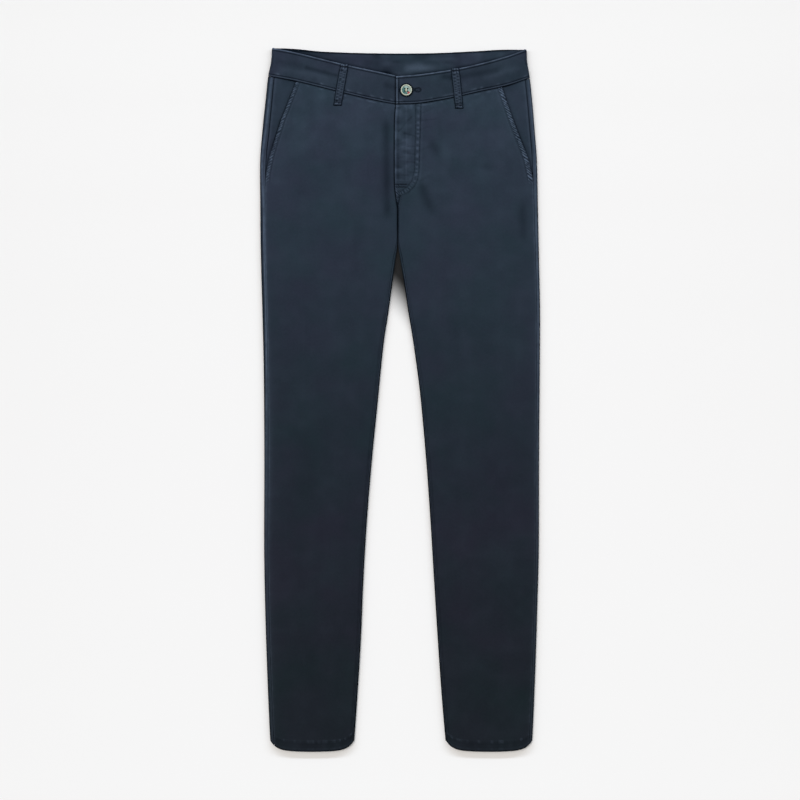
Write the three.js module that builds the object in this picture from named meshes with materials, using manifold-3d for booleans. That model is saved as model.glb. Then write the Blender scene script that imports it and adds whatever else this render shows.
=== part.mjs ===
// Slim chino trousers, laid flat on their back with the front side up.
// Millimetres. X runs across the garment towards the wearer's left leg, Y towards the waist and Z up
// off the table. The origin is under the middle of the garment, on the table.
// A drop is a distance down the garment, measured from its highest corner at the waist.

import * as THREE from "three";
import Module from "manifold-3d";
import { mergeVertices } from "three/addons/utils/BufferGeometryUtils.js";

// Driving sizes
const LENGTH = 1055;
const CLOTH = 2.2; // wall of a leg panel: twill with its turned edges
const FACING = 1.5; // wall of the pocket facing and of the fly shield
const BAND = 2.8; // wall of the waistband: two layers and a stiffener
const SEAM_GAP = 0.3;
const HALF_GAP = SEAM_GAP / 2;

// Heights off the table
const LOOP_THICK = 1.5;
const BACK_LIFT = LOOP_THICK + SEAM_GAP; // the back belt loops hold the back of the waist up by this
const BACK_LIFT_FROM = 75;
const BACK_LIFT_TO = 135;
const BAND_TOP = 9.6;
const LAP_TOP = 10.8; // waistband where its left end lies over the right one
const UNDERLAP_TOP = LAP_TOP - BAND - SEAM_GAP;

// Rolled edge of a leg in section: an arc from the underside, then a shallow shoulder
const EDGE_RADIUS = 3.3;
const EDGE_TURN = THREE.MathUtils.degToRad(160);
const SHOULDER_SLOPE = Math.tan(Math.PI - EDGE_TURN);
const ARC_LENGTH = EDGE_RADIUS * EDGE_TURN;
const ARC_END_IN = EDGE_RADIUS * (1 - Math.sin(EDGE_TURN));
const ARC_END_UP = EDGE_RADIUS * (1 - Math.cos(EDGE_TURN));
const EDGE_STEPS = 8;

// Drops between which the rows of a panel run straight across
const STRAIGHT_FROM = 135;
const STRAIGHT_TO = 985;
const CROTCH = 243;

function table(columns, rows) {
  return rows.map((row) => Object.fromEntries(columns.map((name, i) => [name, row[i]])));
}

// Outer edges of the garment, as x at each drop.
const OUTLINE = table(["drop", "right", "left"], [
  [-10, -191.5, 189.0],
  [0, -192.0, 189.6],
  [21, -193.5, 190.8],
  [42, -197.7, 194.3],
  [78, -201.6, 198.2],
  [123, -206.4, 202.1],
  [168, -209.8, 205.4],
  [235, -209.6, 206.8],
  [303, -209.0, 208.2],
  [393, -206.6, 210.0],
  [483, -204.5, 209.6],
  [618, -203.6, 208.6],
  [753, -203.9, 208.2],
  [843, -202.3, 205.9],
  [933, -199.4, 203.0],
  [1023, -195.6, 199.3],
  [1060, -193.2, 196.9],
]);

// Inner edges of the legs, as x at each drop. They touch down to the fourth row.
const LEG_GAP = table(["drop", "right", "left"], [
  [CROTCH, -3.5, -3.2],
  [270, -3.6, -3.1],
  [295, -4.0, -2.7],
  [320, -7.4, 0.9],
  [344, -10.5, 4.9],
  [392, -16.8, 11.9],
  [438, -23.9, 19.4],
  [483, -28.8, 25.8],
  [528, -33.2, 31.2],
  [618, -42.2, 39.2],
  [708, -49.6, 45.6],
  [798, -55.0, 51.0],
  [888, -58.8, 56.7],
  [978, -64.4, 63.0],
  [1060, -70.2, 70.2],
]);

// Edge of the fly, where the left front lies over the right one.
const FLY_EDGE = table(["drop", "x"], [
  [40, -6.0],
  [82, -6.2],
  [105, -7.8],
  [150, -8.3],
  [206, -7.9],
  [226, -5.9],
  [CROTCH, -3.35],
  [300, -3.35],
]);
const BACK_SEAM_X = -3.35;

// Side seam, as a distance in from the outer edge.
const SIDE_SEAM = table(["drop", "right", "left"], [
  [30, 9.0, 7.0],
  [115, 10.0, 7.0],
  [168, 10.3, 6.5],
  [235, 8.3, 5.6],
  [303, 6.6, 5.0],
  [400, 6.4, 4.6],
  [1060, 5.6, 4.6],
]);

// Slanted pocket mouth, as a distance in from the side seam.
const POCKET_MOUTH = table(["drop", "right", "left"], [
  [40, 36.0, 40.0],
  [75, 25.5, 31.5],
  [108, 15.7, 23.0],
  [140, 8.8, 13.6],
  [168, 3.9, 5.2],
  [188, 0.8, 1.5],
  [200, 0, 0],
]);
const FACING_END = 176;
const FACING_UNDER = 18; // how far the facing runs under the front

// Waistband on the front: drops of its top edge and of its seam at each x.
const WAIST_RIGHT = table(["x", "top", "seam"], [
  [-200, -1.6, 41.6],
  [-192, 0.15, 43.2],
  [-160, 5.9, 49.0],
  [-120, 15.6, 58.5],
  [-80, 25.4, 68.6],
  [-40, 33.9, 77.9],
  [-8, 40.6, 83.6],
  [10, 43.4, 82.8],
  [40, 43.0, 80.8],
]);
const WAIST_LEFT = table(["x", "top", "seam"], [
  [-10, 43.0, 84.5],
  [30, 39.6, 82.9],
  [80, 32.0, 74.3],
  [120, 23.4, 65.3],
  [160, 12.4, 56.6],
  [190, 2.6, 46.8],
  [200, -0.4, 43.6],
]);
const BAND_LEAN = 3; // seam points lie this much further out than the top edge's, midway along
const UNDERLAP_X = 36;
const BACK_TOP_DIP = 7.5;
const BACK_SEAM_DIP = 4;

// Height of the front's upper face.
const HEIGHT = table(["drop", "z"], [
  [30, 9.2],
  [75, 9.0],
  [105, 8.4],
  [135, 7.6],
  [300, 7.6],
  [1060, 7.5],
]);
const FLY_RAISE = 0.6; // extra cloth inside the left front's fly
const FLY_WIDTH = 38;
const FLY_END = 212;
const RIGHT_DIP = 1.2; // the right front dives under the fly
const RIGHT_DIP_WIDTH = 8;

// Inner side of each leg round the crotch: how far the back panel has rolled up, how much of it
// rolls, and how far in the front panel stops.
const CROTCH_ROLL = table(["drop", "roll", "arc", "frontIn"], [
  [200, 0, 7.0, 0],
  [215, 0.35, 7.0, 0],
  [228, 0.7, 7.0, 0],
  [240, 1, 6.5, 1.5],
  [250, 1, 7.1, 2.95],
  [258, 1, 8.2, 3.35],
  [266, 1, 9.92, 3.35],
  [281, 1, 9.92, 3.15],
]);

// Largest soft folds of the front: a ridge or a trough from one point to another.
const FOLDS = table(["x", "drop", "toX", "toDrop", "width", "rise"], [
  [-21, 100, -19, 262, 5, -1.1],
  [46, 132, 66, 172, 9, -0.7],
  [30, 214, 50, 262, 8, -0.7],
  [78, 166, 122, 158, 10, 0.3],
  [112, 176, 150, 182, 6, -0.5],
  [183, 222, 186, 300, 7, -0.7],
  [-165, 216, -128, 219, 6, -0.5],
  [-118, 300, -96, 470, 14, 0.3],
  [-60, 250, -74, 360, 10, -0.5],
  [96, 300, 108, 520, 16, 0.3],
  [64, 330, 84, 450, 10, -0.5],
  [-150, 560, -128, 700, 14, -0.5],
  [-96, 620, -104, 800, 12, 0.3],
  [148, 600, 136, 760, 14, -0.5],
  [104, 840, 118, 960, 12, 0.3],
  [-140, 860, -122, 980, 12, -0.5],
]);
const FOLD_FADE = 14; // folds die out this far from an edge

// Hem of each leg: the corners are rounded and the middle hangs lowest.
const HEM_CORNER = 1039;
const HEM_ROUND = 12.4;
const HEM_SAG = 3.6;
const HEM_MIDDLE = { right: { x: -131.8, half: 62.6 }, left: { x: 133.6, half: 64.6 } };

// Belt loops, by the middle of each end.
const LOOP_WIDTH = 13;
const FRONT_LOOPS = table(["side", "x", "drop", "toX", "toDrop"], [
  ["right", -83.3, 25.0, -93.8, 86.5],
  ["left", 82.5, 30.8, 88.8, 91.0],
]);
const BACK_LOOPS = table(["place", "x", "drop", "lean"], [
  ["right", -112, 7.5, -5],
  ["centre", BACK_SEAM_X, 10, 0],
  ["left", 106, 7.5, 5],
]);
const BACK_LOOP_LENGTH = 61;

// Four-hole button
const BUTTON = { x: 9.9, drop: 62.9, radius: 8.6, thick: 3.0, dish: 0.9, rim: 1.7 };
const BUTTON_HOLE = { radius: 0.85, from: 1.75 };

const SIDES = [
  { name: "right", out: -1, waist: WAIST_RIGHT },
  { name: "left", out: 1, waist: WAIST_LEFT },
];

const lerp = THREE.MathUtils.lerp;
const clamp = THREE.MathUtils.clamp;
const smooth = (t) => THREE.MathUtils.smoothstep(t, 0, 1);
const steps = (from, to, count) => Array.from({ length: count }, (_, i) => lerp(from, to, i / count));

// A smooth curve through one column of a table, as a function of its key column.
function curve(rows, key, name) {
  const at = rows.map((row) => row[key]);
  const value = rows.map((row) => row[name]);
  const last = at.length - 1;
  const slope = at.map((_, i) => {
    const a = Math.max(i - 1, 0);
    const b = Math.min(i + 1, last);
    return (value[b] - value[a]) / (at[b] - at[a]);
  });
  return (x) => {
    const next = at.findIndex((v) => v > x);
    const i = clamp(next < 0 ? last - 1 : next - 1, 0, last - 1);
    const span = at[i + 1] - at[i];
    const t = clamp((x - at[i]) / span, 0, 1);
    const rise = value[i + 1] - value[i];
    const bend = (1 - t) * (slope[i] * span - rise) - t * (slope[i + 1] * span - rise);
    return value[i] + rise * t + t * (1 - t) * bend;
  };
}

// The same, in straight lines.
function line(rows, key, name) {
  return (x) => {
    const next = rows.findIndex((row) => row[key] > x);
    if (next <= 0) return rows[next < 0 ? rows.length - 1 : 0][name];
    const [a, b] = [rows[next - 1], rows[next]];
    return lerp(a[name], b[name], (x - a[key]) / (b[key] - a[key]));
  };
}

for (const side of SIDES) {
  side.edge = curve(OUTLINE, "drop", side.name);
  side.legGap = curve(LEG_GAP, "drop", side.name);
  side.sideSeam = curve(SIDE_SEAM, "drop", side.name);
  side.mouth = line(POCKET_MOUTH, "drop", side.name);
  side.bandTop = curve(side.waist, "x", "top");
  side.bandSeam = curve(side.waist, "x", "seam");
}
const flyEdge = curve(FLY_EDGE, "drop", "x");
const topHeight = curve(HEIGHT, "drop", "z");
const crotch = {
  roll: line(CROTCH_ROLL, "drop", "roll"),
  arc: line(CROTCH_ROLL, "drop", "arc"),
  frontIn: line(CROTCH_ROLL, "drop", "frontIn"),
};

const point = (x, drop, z) => new THREE.Vector3(x, LENGTH / 2 - drop, z);
function backLift(drop) {
  return BACK_LIFT * (1 - smooth((drop - BACK_LIFT_FROM) / (BACK_LIFT_TO - BACK_LIFT_FROM)));
}

const sectionHeight = (drop) => topHeight(drop) - backLift(drop);
const backTop = (x) =>
  -0.3 - 0.7 * smooth((x - 40) / 70) + (BACK_TOP_DIP + 0.3) * (1 - (x / 192) ** 2);

// Drop of the back waistband's seam: it joins the front's at both sides.
function backSeam(x) {
  const right = SIDES[0].bandSeam(SIDES[0].edge(42));
  const left = SIDES[1].bandSeam(SIDES[1].edge(42));
  return lerp(right, left, (x + 197) / 391) + BACK_SEAM_DIP * (1 - (x / 195) ** 2);
}

function hem(side, x) {
  const { x: middle, half } = HEM_MIDDLE[side.name];
  const v = Math.min(Math.abs((x - middle) / half), 1);
  return HEM_CORNER + HEM_ROUND * (1 - v ** 7) + HEM_SAG * (1 - v ** 2);
}

// x of the inner side of a front or a back at a drop.
function innerEdge(side, drop, isFront) {
  const gap = side.out * HALF_GAP;
  if (drop >= CROTCH) return side.legGap(drop);
  return (isFront ? flyEdge(drop) : BACK_SEAM_X) + gap;
}

// Height of the rolled edge over the underside, at a distance in from the edge.
function edgeHeight(height, inset) {
  if (inset <= ARC_END_IN) {
    return EDGE_RADIUS + Math.sqrt(Math.max(EDGE_RADIUS ** 2 - (EDGE_RADIUS - inset) ** 2, 0));
  }
  const width = (2 * (height - ARC_END_UP)) / SHOULDER_SLOPE;
  const left = Math.max(ARC_END_IN + width - inset, 0);
  return height - (SHOULDER_SLOPE / (2 * width)) * left ** 2;
}

// The rolled edge in section, from the underside up round the edge: distances in and up.
function rolledEdge(height, length, roll) {
  const found = [];
  const turning = Math.min(length, ARC_LENGTH);
  for (let i = 0; i <= EDGE_STEPS; i++) {
    const s = (turning * i) / EDGE_STEPS;
    const angle = (roll * s) / EDGE_RADIUS;
    const radius = roll > 0 ? EDGE_RADIUS / roll : 0;
    found.push(roll > 0 ? [radius * Math.sin(angle), radius * (1 - Math.cos(angle))] : [s, 0]);
  }
  const reach = Math.max(...found.map(([out]) => out));
  const points = found.map(([out, up]) => ({ inset: reach - out, up }));
  const shoulder = length - ARC_LENGTH;
  for (const share of shoulder > 0 ? [0.5, 1] : []) {
    const inset = ARC_END_IN + shoulder * share;
    points.push({ inset, up: edgeHeight(height, inset) });
  }
  return points;
}

// Rise of the soft folds at a place on the front.
function foldRise(x, drop) {
  let total = 0;
  for (const fold of FOLDS) {
    const along = new THREE.Vector2(fold.toX - fold.x, fold.toDrop - fold.drop);
    const from = new THREE.Vector2(x - fold.x, drop - fold.drop);
    const t = clamp(from.dot(along) / along.lengthSq(), 0, 1);
    const away = from.distanceTo(along.clone().multiplyScalar(t)) / fold.width;
    total += fold.rise * Math.exp(-away * away);
  }
  return total;
}

// Height of the front's upper face, before a panel's own changes.
function frontHeight(side, x, drop) {
  const height = sectionHeight(drop);
  const outerIn = side.out * (side.edge(drop) - x);
  const innerIn = side.out * (x - innerEdge(side, drop, true));
  const outerDrop = height - edgeHeight(height, Math.max(outerIn, 0));
  const innerDrop = (height - edgeHeight(height, Math.max(innerIn, 0))) * smooth((drop - 236) / 20);
  const nearCentre = drop < CROTCH ? 1 : smooth(innerIn / FOLD_FADE);
  const fade = smooth((outerIn - 6) / FOLD_FADE) * nearCentre * smooth((HEM_CORNER - drop) / 40);
  let z = backLift(drop) + height - outerDrop - innerDrop + foldRise(x, drop) * fade;
  const below = smooth((FLY_END + 24 - drop) / 24);
  if (side.name === "left") z += FLY_RAISE * below * smooth((FLY_WIDTH + 8 - innerIn) / 8);
  else z -= RIGHT_DIP * below * smooth((RIGHT_DIP_WIDTH - innerIn) / RIGHT_DIP_WIDTH);
  return z;
}

function addQuad(indices, a, b, c, d) {
  indices.push(a, b, c, a, c, d);
}

// A closed wall of cloth. The grid is its outer face, row by row down the garment, and its inner
// face lies a wall's thickness behind each point, or straight below it where the wall is upright.
function wall(grid, thickness, upright = false) {
  const rows = grid.length;
  const columns = grid[0].length;
  const positions = [];
  const inner = [];
  for (let i = 0; i < rows; i++) {
    for (let j = 0; j < columns; j++) {
      const down = grid[Math.min(i + 1, rows - 1)][j].clone().sub(grid[Math.max(i - 1, 0)][j]);
      const across = grid[i][Math.min(j + 1, columns - 1)].clone().sub(grid[i][Math.max(j - 1, 0)]);
      const normal = upright ? new THREE.Vector3(0, 0, 1) : down.cross(across).normalize();
      positions.push(...grid[i][j].toArray());
      inner.push(...grid[i][j].clone().addScaledVector(normal, -thickness).toArray());
    }
  }
  const count = rows * columns;
  const at = (i, j) => i * columns + j;
  const indices = [];
  for (let i = 0; i + 1 < rows; i++) {
    for (let j = 0; j + 1 < columns; j++) {
      const corners = [at(i, j), at(i + 1, j), at(i + 1, j + 1), at(i, j + 1)];
      addQuad(indices, ...corners);
      addQuad(indices, ...corners.map((n) => n + count).reverse());
    }
  }
  for (let i = 0; i + 1 < rows; i++) {
    const last = columns - 1;
    addQuad(indices, at(i, 0), at(i, 0) + count, at(i + 1, 0) + count, at(i + 1, 0));
    addQuad(indices, at(i + 1, last), at(i + 1, last) + count, at(i, last) + count, at(i, last));
  }
  for (let j = 0; j + 1 < columns; j++) {
    const last = rows - 1;
    addQuad(indices, at(0, j + 1), at(0, j + 1) + count, at(0, j) + count, at(0, j));
    addQuad(indices, at(last, j), at(last, j) + count, at(last, j + 1) + count, at(last, j + 1));
  }
  const geometry = new THREE.BufferGeometry();
  geometry.setAttribute("position", new THREE.Float32BufferAttribute(positions.concat(inner), 3));
  geometry.setIndex(indices);
  geometry.computeVertexNormals();
  return geometry;
}

const COLOURS = { cloth: 0x2e3a46, band: 0x303c49, button: 0xd9dccb };

function piece(name, geometry, colour, roughness = 0.9) {
  const material = new THREE.MeshStandardMaterial({ color: colour, roughness, metalness: 0 });
  const mesh = new THREE.Mesh(geometry, material);
  mesh.name = name;
  return mesh;
}

// The rows of a leg panel, each a drop for every x: from its top seam to the straight rows, round
// the crotch, down the leg and into the hem.
function panelRows(side, top) {
  const hemShares = [0.45, 0.75, 0.92, 1];
  return [
    ...steps(0, 1, 6).map((t) => (x) => lerp(top(x), STRAIGHT_FROM, t)),
    ...steps(STRAIGHT_FROM, 200, 4).map((drop) => () => drop),
    ...[200, 208, 215, 222, 228, 234, 240, 250, 258, 266, 281].map((drop) => () => drop),
    ...steps(296, STRAIGHT_TO, 16).map((drop) => () => drop),
    () => STRAIGHT_TO,
    ...hemShares.map((t) => (x) => lerp(STRAIGHT_TO, hem(side, x), t)),
  ];
}

// x of a boundary where a row crosses it.
function meet(row, boundary, start) {
  let x = start;
  for (let i = 0; i < 4; i++) x = boundary(row(x));
  return x;
}

function frontPanel(side) {
  const shares = [0.035, 0.09, 0.18, 0.32, 0.5, 0.68, 0.82, 0.91, 0.965];
  const nearSeam = 1.6;
  const top = (x) => side.bandSeam(x) + HALF_GAP;
  const outer = (drop) => {
    const inset = side.sideSeam(drop) + Math.max(side.mouth(drop), 0) + HALF_GAP;
    return side.edge(drop) - side.out * inset;
  };
  const inner = (drop) => innerEdge(side, drop, true) + side.out * crotch.frontIn(drop);
  const grid = panelRows(side, top).map((row) => {
    const from = meet(row, outer, side.out * 170);
    const to = meet(row, inner, side.out * 20);
    const sign = Math.sign(to - from);
    const inside = shares.map((share) => lerp(from, to, share));
    const across = [from, from + sign * nearSeam, ...inside, to - sign * nearSeam, to];
    const points = across.map((x) => point(x, row(x), frontHeight(side, x, row(x))));
    return side.out < 0 ? points : points.reverse();
  });
  return piece(`front_${side.name}`, wall(grid, CLOTH), COLOURS.cloth);
}

function backPanel(side) {
  const shares = [0.15, 0.4, 0.65, 0.88];
  const topOf = (x, up) => (up > EDGE_RADIUS ? side.bandSeam(x) : backSeam(x)) + HALF_GAP;
  const rowsFor = (up) => panelRows(side, (x) => topOf(x, up));
  const [low, high] = [rowsFor(0), rowsFor(2 * EDGE_RADIUS)];
  const place = (i, x, up) => {
    const drop = (up > EDGE_RADIUS ? high : low)[i](x);
    return point(x, drop, up + backLift(drop));
  };
  const grid = low.map((row, i) => {
    const outerX = meet(row, side.edge, side.out * 200);
    const outerDrop = row(outerX);
    const seamIn = side.sideSeam(outerDrop) - HALF_GAP;
    const height = sectionHeight(outerDrop);
    const outerRing = rolledEdge(height, ARC_LENGTH + seamIn - ARC_END_IN, 1);
    const innerX = meet(row, (drop) => innerEdge(side, drop, false), side.out * 20);
    const innerDrop = row(innerX);
    const innerRing = rolledEdge(height, crotch.arc(innerDrop), crotch.roll(innerDrop));
    const turn = innerRing.slice(0, EDGE_STEPS + 1);
    const cap = innerRing[EDGE_STEPS + 2] ?? innerRing[EDGE_STEPS];
    const rolled = [...turn.filter((_, k) => k % 2 === 0), cap];
    const last = rolled.length - 1;
    if (innerRing.length <= EDGE_STEPS + 1) rolled[last] = { ...cap, up: cap.up + 0.02 };
    const outerPoints = outerRing.map(({ inset, up }) => place(i, outerX - side.out * inset, up));
    const innerPoints = rolled.map(({ inset, up }) => place(i, innerX + side.out * inset, up));
    const flatFrom = outerX - side.out * outerRing[0].inset;
    const flatTo = innerX + side.out * rolled[0].inset;
    const flat = shares.map((share) => place(i, lerp(flatFrom, flatTo, share), 0));
    const points = [...outerPoints.reverse(), ...flat, ...innerPoints];
    return side.out > 0 ? points : points.reverse();
  });
  return piece(`back_${side.name}`, wall(grid, CLOTH), COLOURS.cloth);
}

// The side piece that shows in the slanted pocket's mouth and runs in under the front.
function pocketFacing(side) {
  const rowCount = 9;
  const under = CLOTH + SEAM_GAP + 0.1;
  const seamStep = 0.4;
  const seamClear = 0.6;
  const grid = [];
  for (let i = 0; i <= rowCount; i++) {
    const t = i / rowCount;
    const row = (x) => lerp(side.bandSeam(x) + HALF_GAP, FACING_END, t);
    const seam = (drop) => side.edge(drop) - side.out * (side.sideSeam(drop) + seamClear);
    const from = meet(row, seam, side.out * 190);
    const mouth = side.mouth(row(from));
    const insets = [0, 0.45, 0.85, 1].map((share) => share * mouth);
    insets.push(mouth + FACING_UNDER / 2, mouth + FACING_UNDER);
    const points = insets.map((inset) => {
      const x = from - side.out * inset;
      const sunk = lerp(seamStep, under, smooth(inset / (mouth * 0.85)));
      return point(x, row(x), frontHeight(side, x, row(x)) - sunk);
    });
    grid.push(side.out < 0 ? points : points.reverse());
  }
  return piece(`pocket_facing_${side.name}`, wall(grid, FACING, true), COLOURS.cloth);
}

// The shield behind the fly, sewn to the right front's edge and hidden by the left front.
function flyShield() {
  const [from, to, width, rowCount] = [88, 196, 32, 7];
  const under = CLOTH - FLY_RAISE + SEAM_GAP + 0.1;
  const grid = [];
  for (let i = 0; i <= rowCount; i++) {
    const drop = lerp(from, to, i / rowCount);
    const points = [0, 0.5, 1].map((share) => {
      const x = flyEdge(drop) + SEAM_GAP + width * share * (1 - 0.35 * smooth((drop - 160) / 36));
      return point(x, drop, topHeight(drop) - under);
    });
    grid.push(points);
  }
  return piece("fly_shield", wall(grid, FACING), COLOURS.cloth);
}

// Height of the front waistband's face.
function bandHeight(side, x) {
  if (side.name === "left") return lerp(LAP_TOP, BAND_TOP, smooth((x - 44) / 36));
  return lerp(BAND_TOP, UNDERLAP_TOP, smooth((x + 26) / 17));
}

// Half of the waistband: from its front end across the front, round the side and along the back.
function waistband(side) {
  const widthSteps = 4;
  const radius = (BAND_TOP - BACK_LIFT) / 2;
  const frontEnd = flyEdge(42);
  const topEnd = side.edge(side.bandTop(side.edge(0))) - side.out * radius;
  const seamEnd = side.edge(42) - side.out * radius;
  const stations = [];
  const across = (xTop, xSeam) => (w) => {
    const drop = lerp(side.bandTop(xTop), side.bandSeam(xSeam) - HALF_GAP, w);
    const x = lerp(xTop, xSeam, w);
    return point(x, drop, bandHeight(side, x));
  };
  if (side.name === "right") for (const x of [UNDERLAP_X, 18, 4]) stations.push(across(x, x));
  const shares = [0, 0.02, 0.045, 0.07, 0.1, 0.15, 0.2, 0.26, 0.33, ...steps(0.4, 0.96, 7), 0.96, 1];
  for (const share of shares) {
    const lean = side.out * BAND_LEAN * Math.sin(Math.PI * share);
    stations.push(across(lerp(frontEnd, topEnd, share), lerp(frontEnd, seamEnd, share) + lean));
  }
  const sideTop = side.bandTop(side.edge(0));
  const sideSeam = side.bandSeam(side.edge(42)) - HALF_GAP;
  for (const angle of [60, 30, 0, -30, -60]) {
    const turn = THREE.MathUtils.degToRad(angle);
    stations.push((w) => {
      const drop = lerp(sideTop, sideSeam, w);
      const x = side.edge(drop) - side.out * radius * (1 - Math.cos(turn));
      return point(x, drop, BACK_LIFT + radius * (1 + Math.sin(turn)));
    });
  }
  for (const share of [1, 0.9, 0.78, 0.65, 0.52, 0.4, 0.28, 0.15, 0.05, 0]) {
    const end = BACK_SEAM_X + side.out * HALF_GAP;
    const [xTop, xSeam] = [lerp(end, topEnd, share), lerp(end, seamEnd, share)];
    stations.push((w) => {
      const top = lerp(backTop(xTop), sideTop, smooth((share - 0.6) / 0.4));
      const seam = backSeam(xSeam) - HALF_GAP;
      return point(lerp(xTop, xSeam, w), lerp(top, seam, w), BACK_LIFT);
    });
  }
  if (side.out < 0) stations.reverse();
  const grid = [];
  for (let i = 0; i <= widthSteps; i++) grid.push(stations.map((station) => station(i / widthSteps)));
  return piece(`waistband_${side.name}`, wall(grid, BAND), COLOURS.band);
}

function frontLoop(loop) {
  const side = SIDES.find(({ name }) => name === loop.side);
  const grid = [];
  const rowCount = 8;
  for (let i = 0; i <= rowCount; i++) {
    const t = i / rowCount;
    const [x, drop] = [lerp(loop.x, loop.toX, t), lerp(loop.drop, loop.toDrop, t)];
    const onBand = BAND_TOP;
    const onFront = frontHeight(side, loop.toX, loop.toDrop);
    const past = smooth((drop - side.bandSeam(x) - 3) / 14);
    const z = lerp(onBand, onFront + 0.1, past) + SEAM_GAP + LOOP_THICK;
    grid.push([-0.5, -0.2, 0.2, 0.5].map((share) => point(x + share * LOOP_WIDTH, drop, z)));
  }
  return piece(`belt_loop_front_${loop.side}`, wall(grid, LOOP_THICK), COLOURS.band);
}

// A back belt loop lies flat on the table, under the waistband.
function backLoop(loop) {
  const geometry = new THREE.BoxGeometry(LOOP_WIDTH, BACK_LOOP_LENGTH, LOOP_THICK);
  const mesh = piece(`belt_loop_back_${loop.place}`, geometry, COLOURS.band);
  mesh.position.copy(point(loop.x, loop.drop + BACK_LOOP_LENGTH / 2, LOOP_THICK / 2));
  mesh.rotation.z = Math.atan2(loop.lean, BACK_LOOP_LENGTH);
  return mesh;
}

// A three.js geometry as a solid for cutting.
function solidOf(wasm, geometry) {
  const bare = geometry.clone();
  bare.deleteAttribute("normal");
  bare.deleteAttribute("uv");
  const merged = mergeVertices(bare, 1e-4);
  const mesh = new wasm.Mesh({
    numProp: 3,
    vertProperties: merged.attributes.position.array,
    triVerts: new Uint32Array(merged.index.array),
  });
  return new wasm.Manifold(mesh);
}

function geometryOf(solid) {
  const mesh = solid.getMesh();
  const geometry = new THREE.BufferGeometry();
  geometry.setAttribute("position", new THREE.BufferAttribute(mesh.vertProperties, 3));
  geometry.setIndex(new THREE.BufferAttribute(mesh.triVerts, 1));
  geometry.computeVertexNormals();
  return geometry;
}

// The button: a rounded rim round a dished middle with four thread holes.
async function button() {
  const wasm = await Module();
  wasm.setup();
  const { radius, thick, dish, rim } = BUTTON;
  const profile = [new THREE.Vector2(0, 0), new THREE.Vector2(radius - 1.2, 0)];
  for (let i = 0; i <= 6; i++) {
    const turn = lerp(-Math.PI / 2, Math.PI / 2, i / 6);
    const out = radius - 1.2 + 1.2 * Math.cos(turn);
    profile.push(new THREE.Vector2(out, thick / 2 + (thick / 2) * Math.sin(turn)));
  }
  profile.push(new THREE.Vector2(radius - rim, thick - 0.15));
  profile.push(new THREE.Vector2(radius - rim - 0.9, thick - dish));
  profile.push(new THREE.Vector2(0, thick - dish - 0.1));
  let disc = solidOf(wasm, new THREE.LatheGeometry(profile, 32).rotateX(Math.PI / 2));
  for (let i = 0; i < 4; i++) {
    const turn = Math.PI / 4 + (i * Math.PI) / 2;
    const hole = new THREE.CylinderGeometry(BUTTON_HOLE.radius, BUTTON_HOLE.radius, 4 * thick, 12);
    hole.rotateX(Math.PI / 2);
    hole.translate(BUTTON_HOLE.from * Math.cos(turn), BUTTON_HOLE.from * Math.sin(turn), 0);
    disc = disc.subtract(solidOf(wasm, hole));
  }
  const mesh = piece("button", geometryOf(disc), COLOURS.button, 0.3);
  mesh.position.copy(point(BUTTON.x, BUTTON.drop, LAP_TOP + SEAM_GAP));
  return mesh;
}

const trousers = new THREE.Group();
trousers.add(...SIDES.map(frontPanel));
trousers.add(...SIDES.map(backPanel));
trousers.add(...SIDES.map(pocketFacing));
trousers.add(...SIDES.map(waistband));
trousers.add(flyShield());
trousers.add(...FRONT_LOOPS.map(frontLoop));
trousers.add(...BACK_LOOPS.map(backLoop));
trousers.add(await button());

export default trousers;
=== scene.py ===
"""Slim chino trousers in dark blue-grey twill, laid flat on their back with the front side up.

Lengths are worked out in millimetres and put into the scene in metres. X runs across the garment
towards the wearer's left leg, Y towards the waist and Z up. A drop is a distance down the garment
from its highest corner at the waist. Left and right are the wearer's.
"""

import math

import bpy
import numpy as np
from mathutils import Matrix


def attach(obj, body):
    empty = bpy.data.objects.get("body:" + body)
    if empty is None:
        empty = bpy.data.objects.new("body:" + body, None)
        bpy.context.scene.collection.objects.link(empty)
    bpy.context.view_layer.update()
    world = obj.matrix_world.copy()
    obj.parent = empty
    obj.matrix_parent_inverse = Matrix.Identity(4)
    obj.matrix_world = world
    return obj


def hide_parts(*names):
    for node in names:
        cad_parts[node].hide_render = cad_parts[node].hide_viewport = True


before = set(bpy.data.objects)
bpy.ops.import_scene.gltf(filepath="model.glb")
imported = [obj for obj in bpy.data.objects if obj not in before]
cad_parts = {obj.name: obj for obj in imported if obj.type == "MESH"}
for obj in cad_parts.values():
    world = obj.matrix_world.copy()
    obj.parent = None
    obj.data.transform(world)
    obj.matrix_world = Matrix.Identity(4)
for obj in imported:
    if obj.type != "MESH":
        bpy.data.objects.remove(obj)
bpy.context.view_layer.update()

# Driving sizes, most of them those of the solids
LENGTH = 1055
CLOTH = 2.2
FACING = 1.5
BAND = 2.8
HALF_GAP = 0.15
LOOP_THICK = 1.5
BACK_LIFT = 1.8
BACK_LIFT_FROM, BACK_LIFT_TO = 75, 135
BAND_TOP = 9.6
LAP_TOP = 10.8
UNDERLAP_TOP = 7.7
EDGE_RADIUS = 3.3
EDGE_TURN = math.radians(160)
SHOULDER_SLOPE = math.tan(math.pi - EDGE_TURN)
ARC_LENGTH = EDGE_RADIUS * EDGE_TURN
ARC_END_IN = EDGE_RADIUS * (1 - math.sin(EDGE_TURN))
ARC_END_UP = EDGE_RADIUS * (1 - math.cos(EDGE_TURN))
STRAIGHT_FROM, STRAIGHT_TO = 135, 985
CROTCH = 243
BACK_SEAM_X = -3.35
FACING_END, FACING_UNDER = 187, 18
BAND_LEAN, UNDERLAP_X = 3, 36
BAND_DROP = 42  # where the waistband's seam meets the side edges
BACK_TOP_DIP, BACK_SEAM_DIP = 7.5, 4
FLY_RAISE, FLY_WIDTH, FLY_END = 0.6, 38, 212
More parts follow.
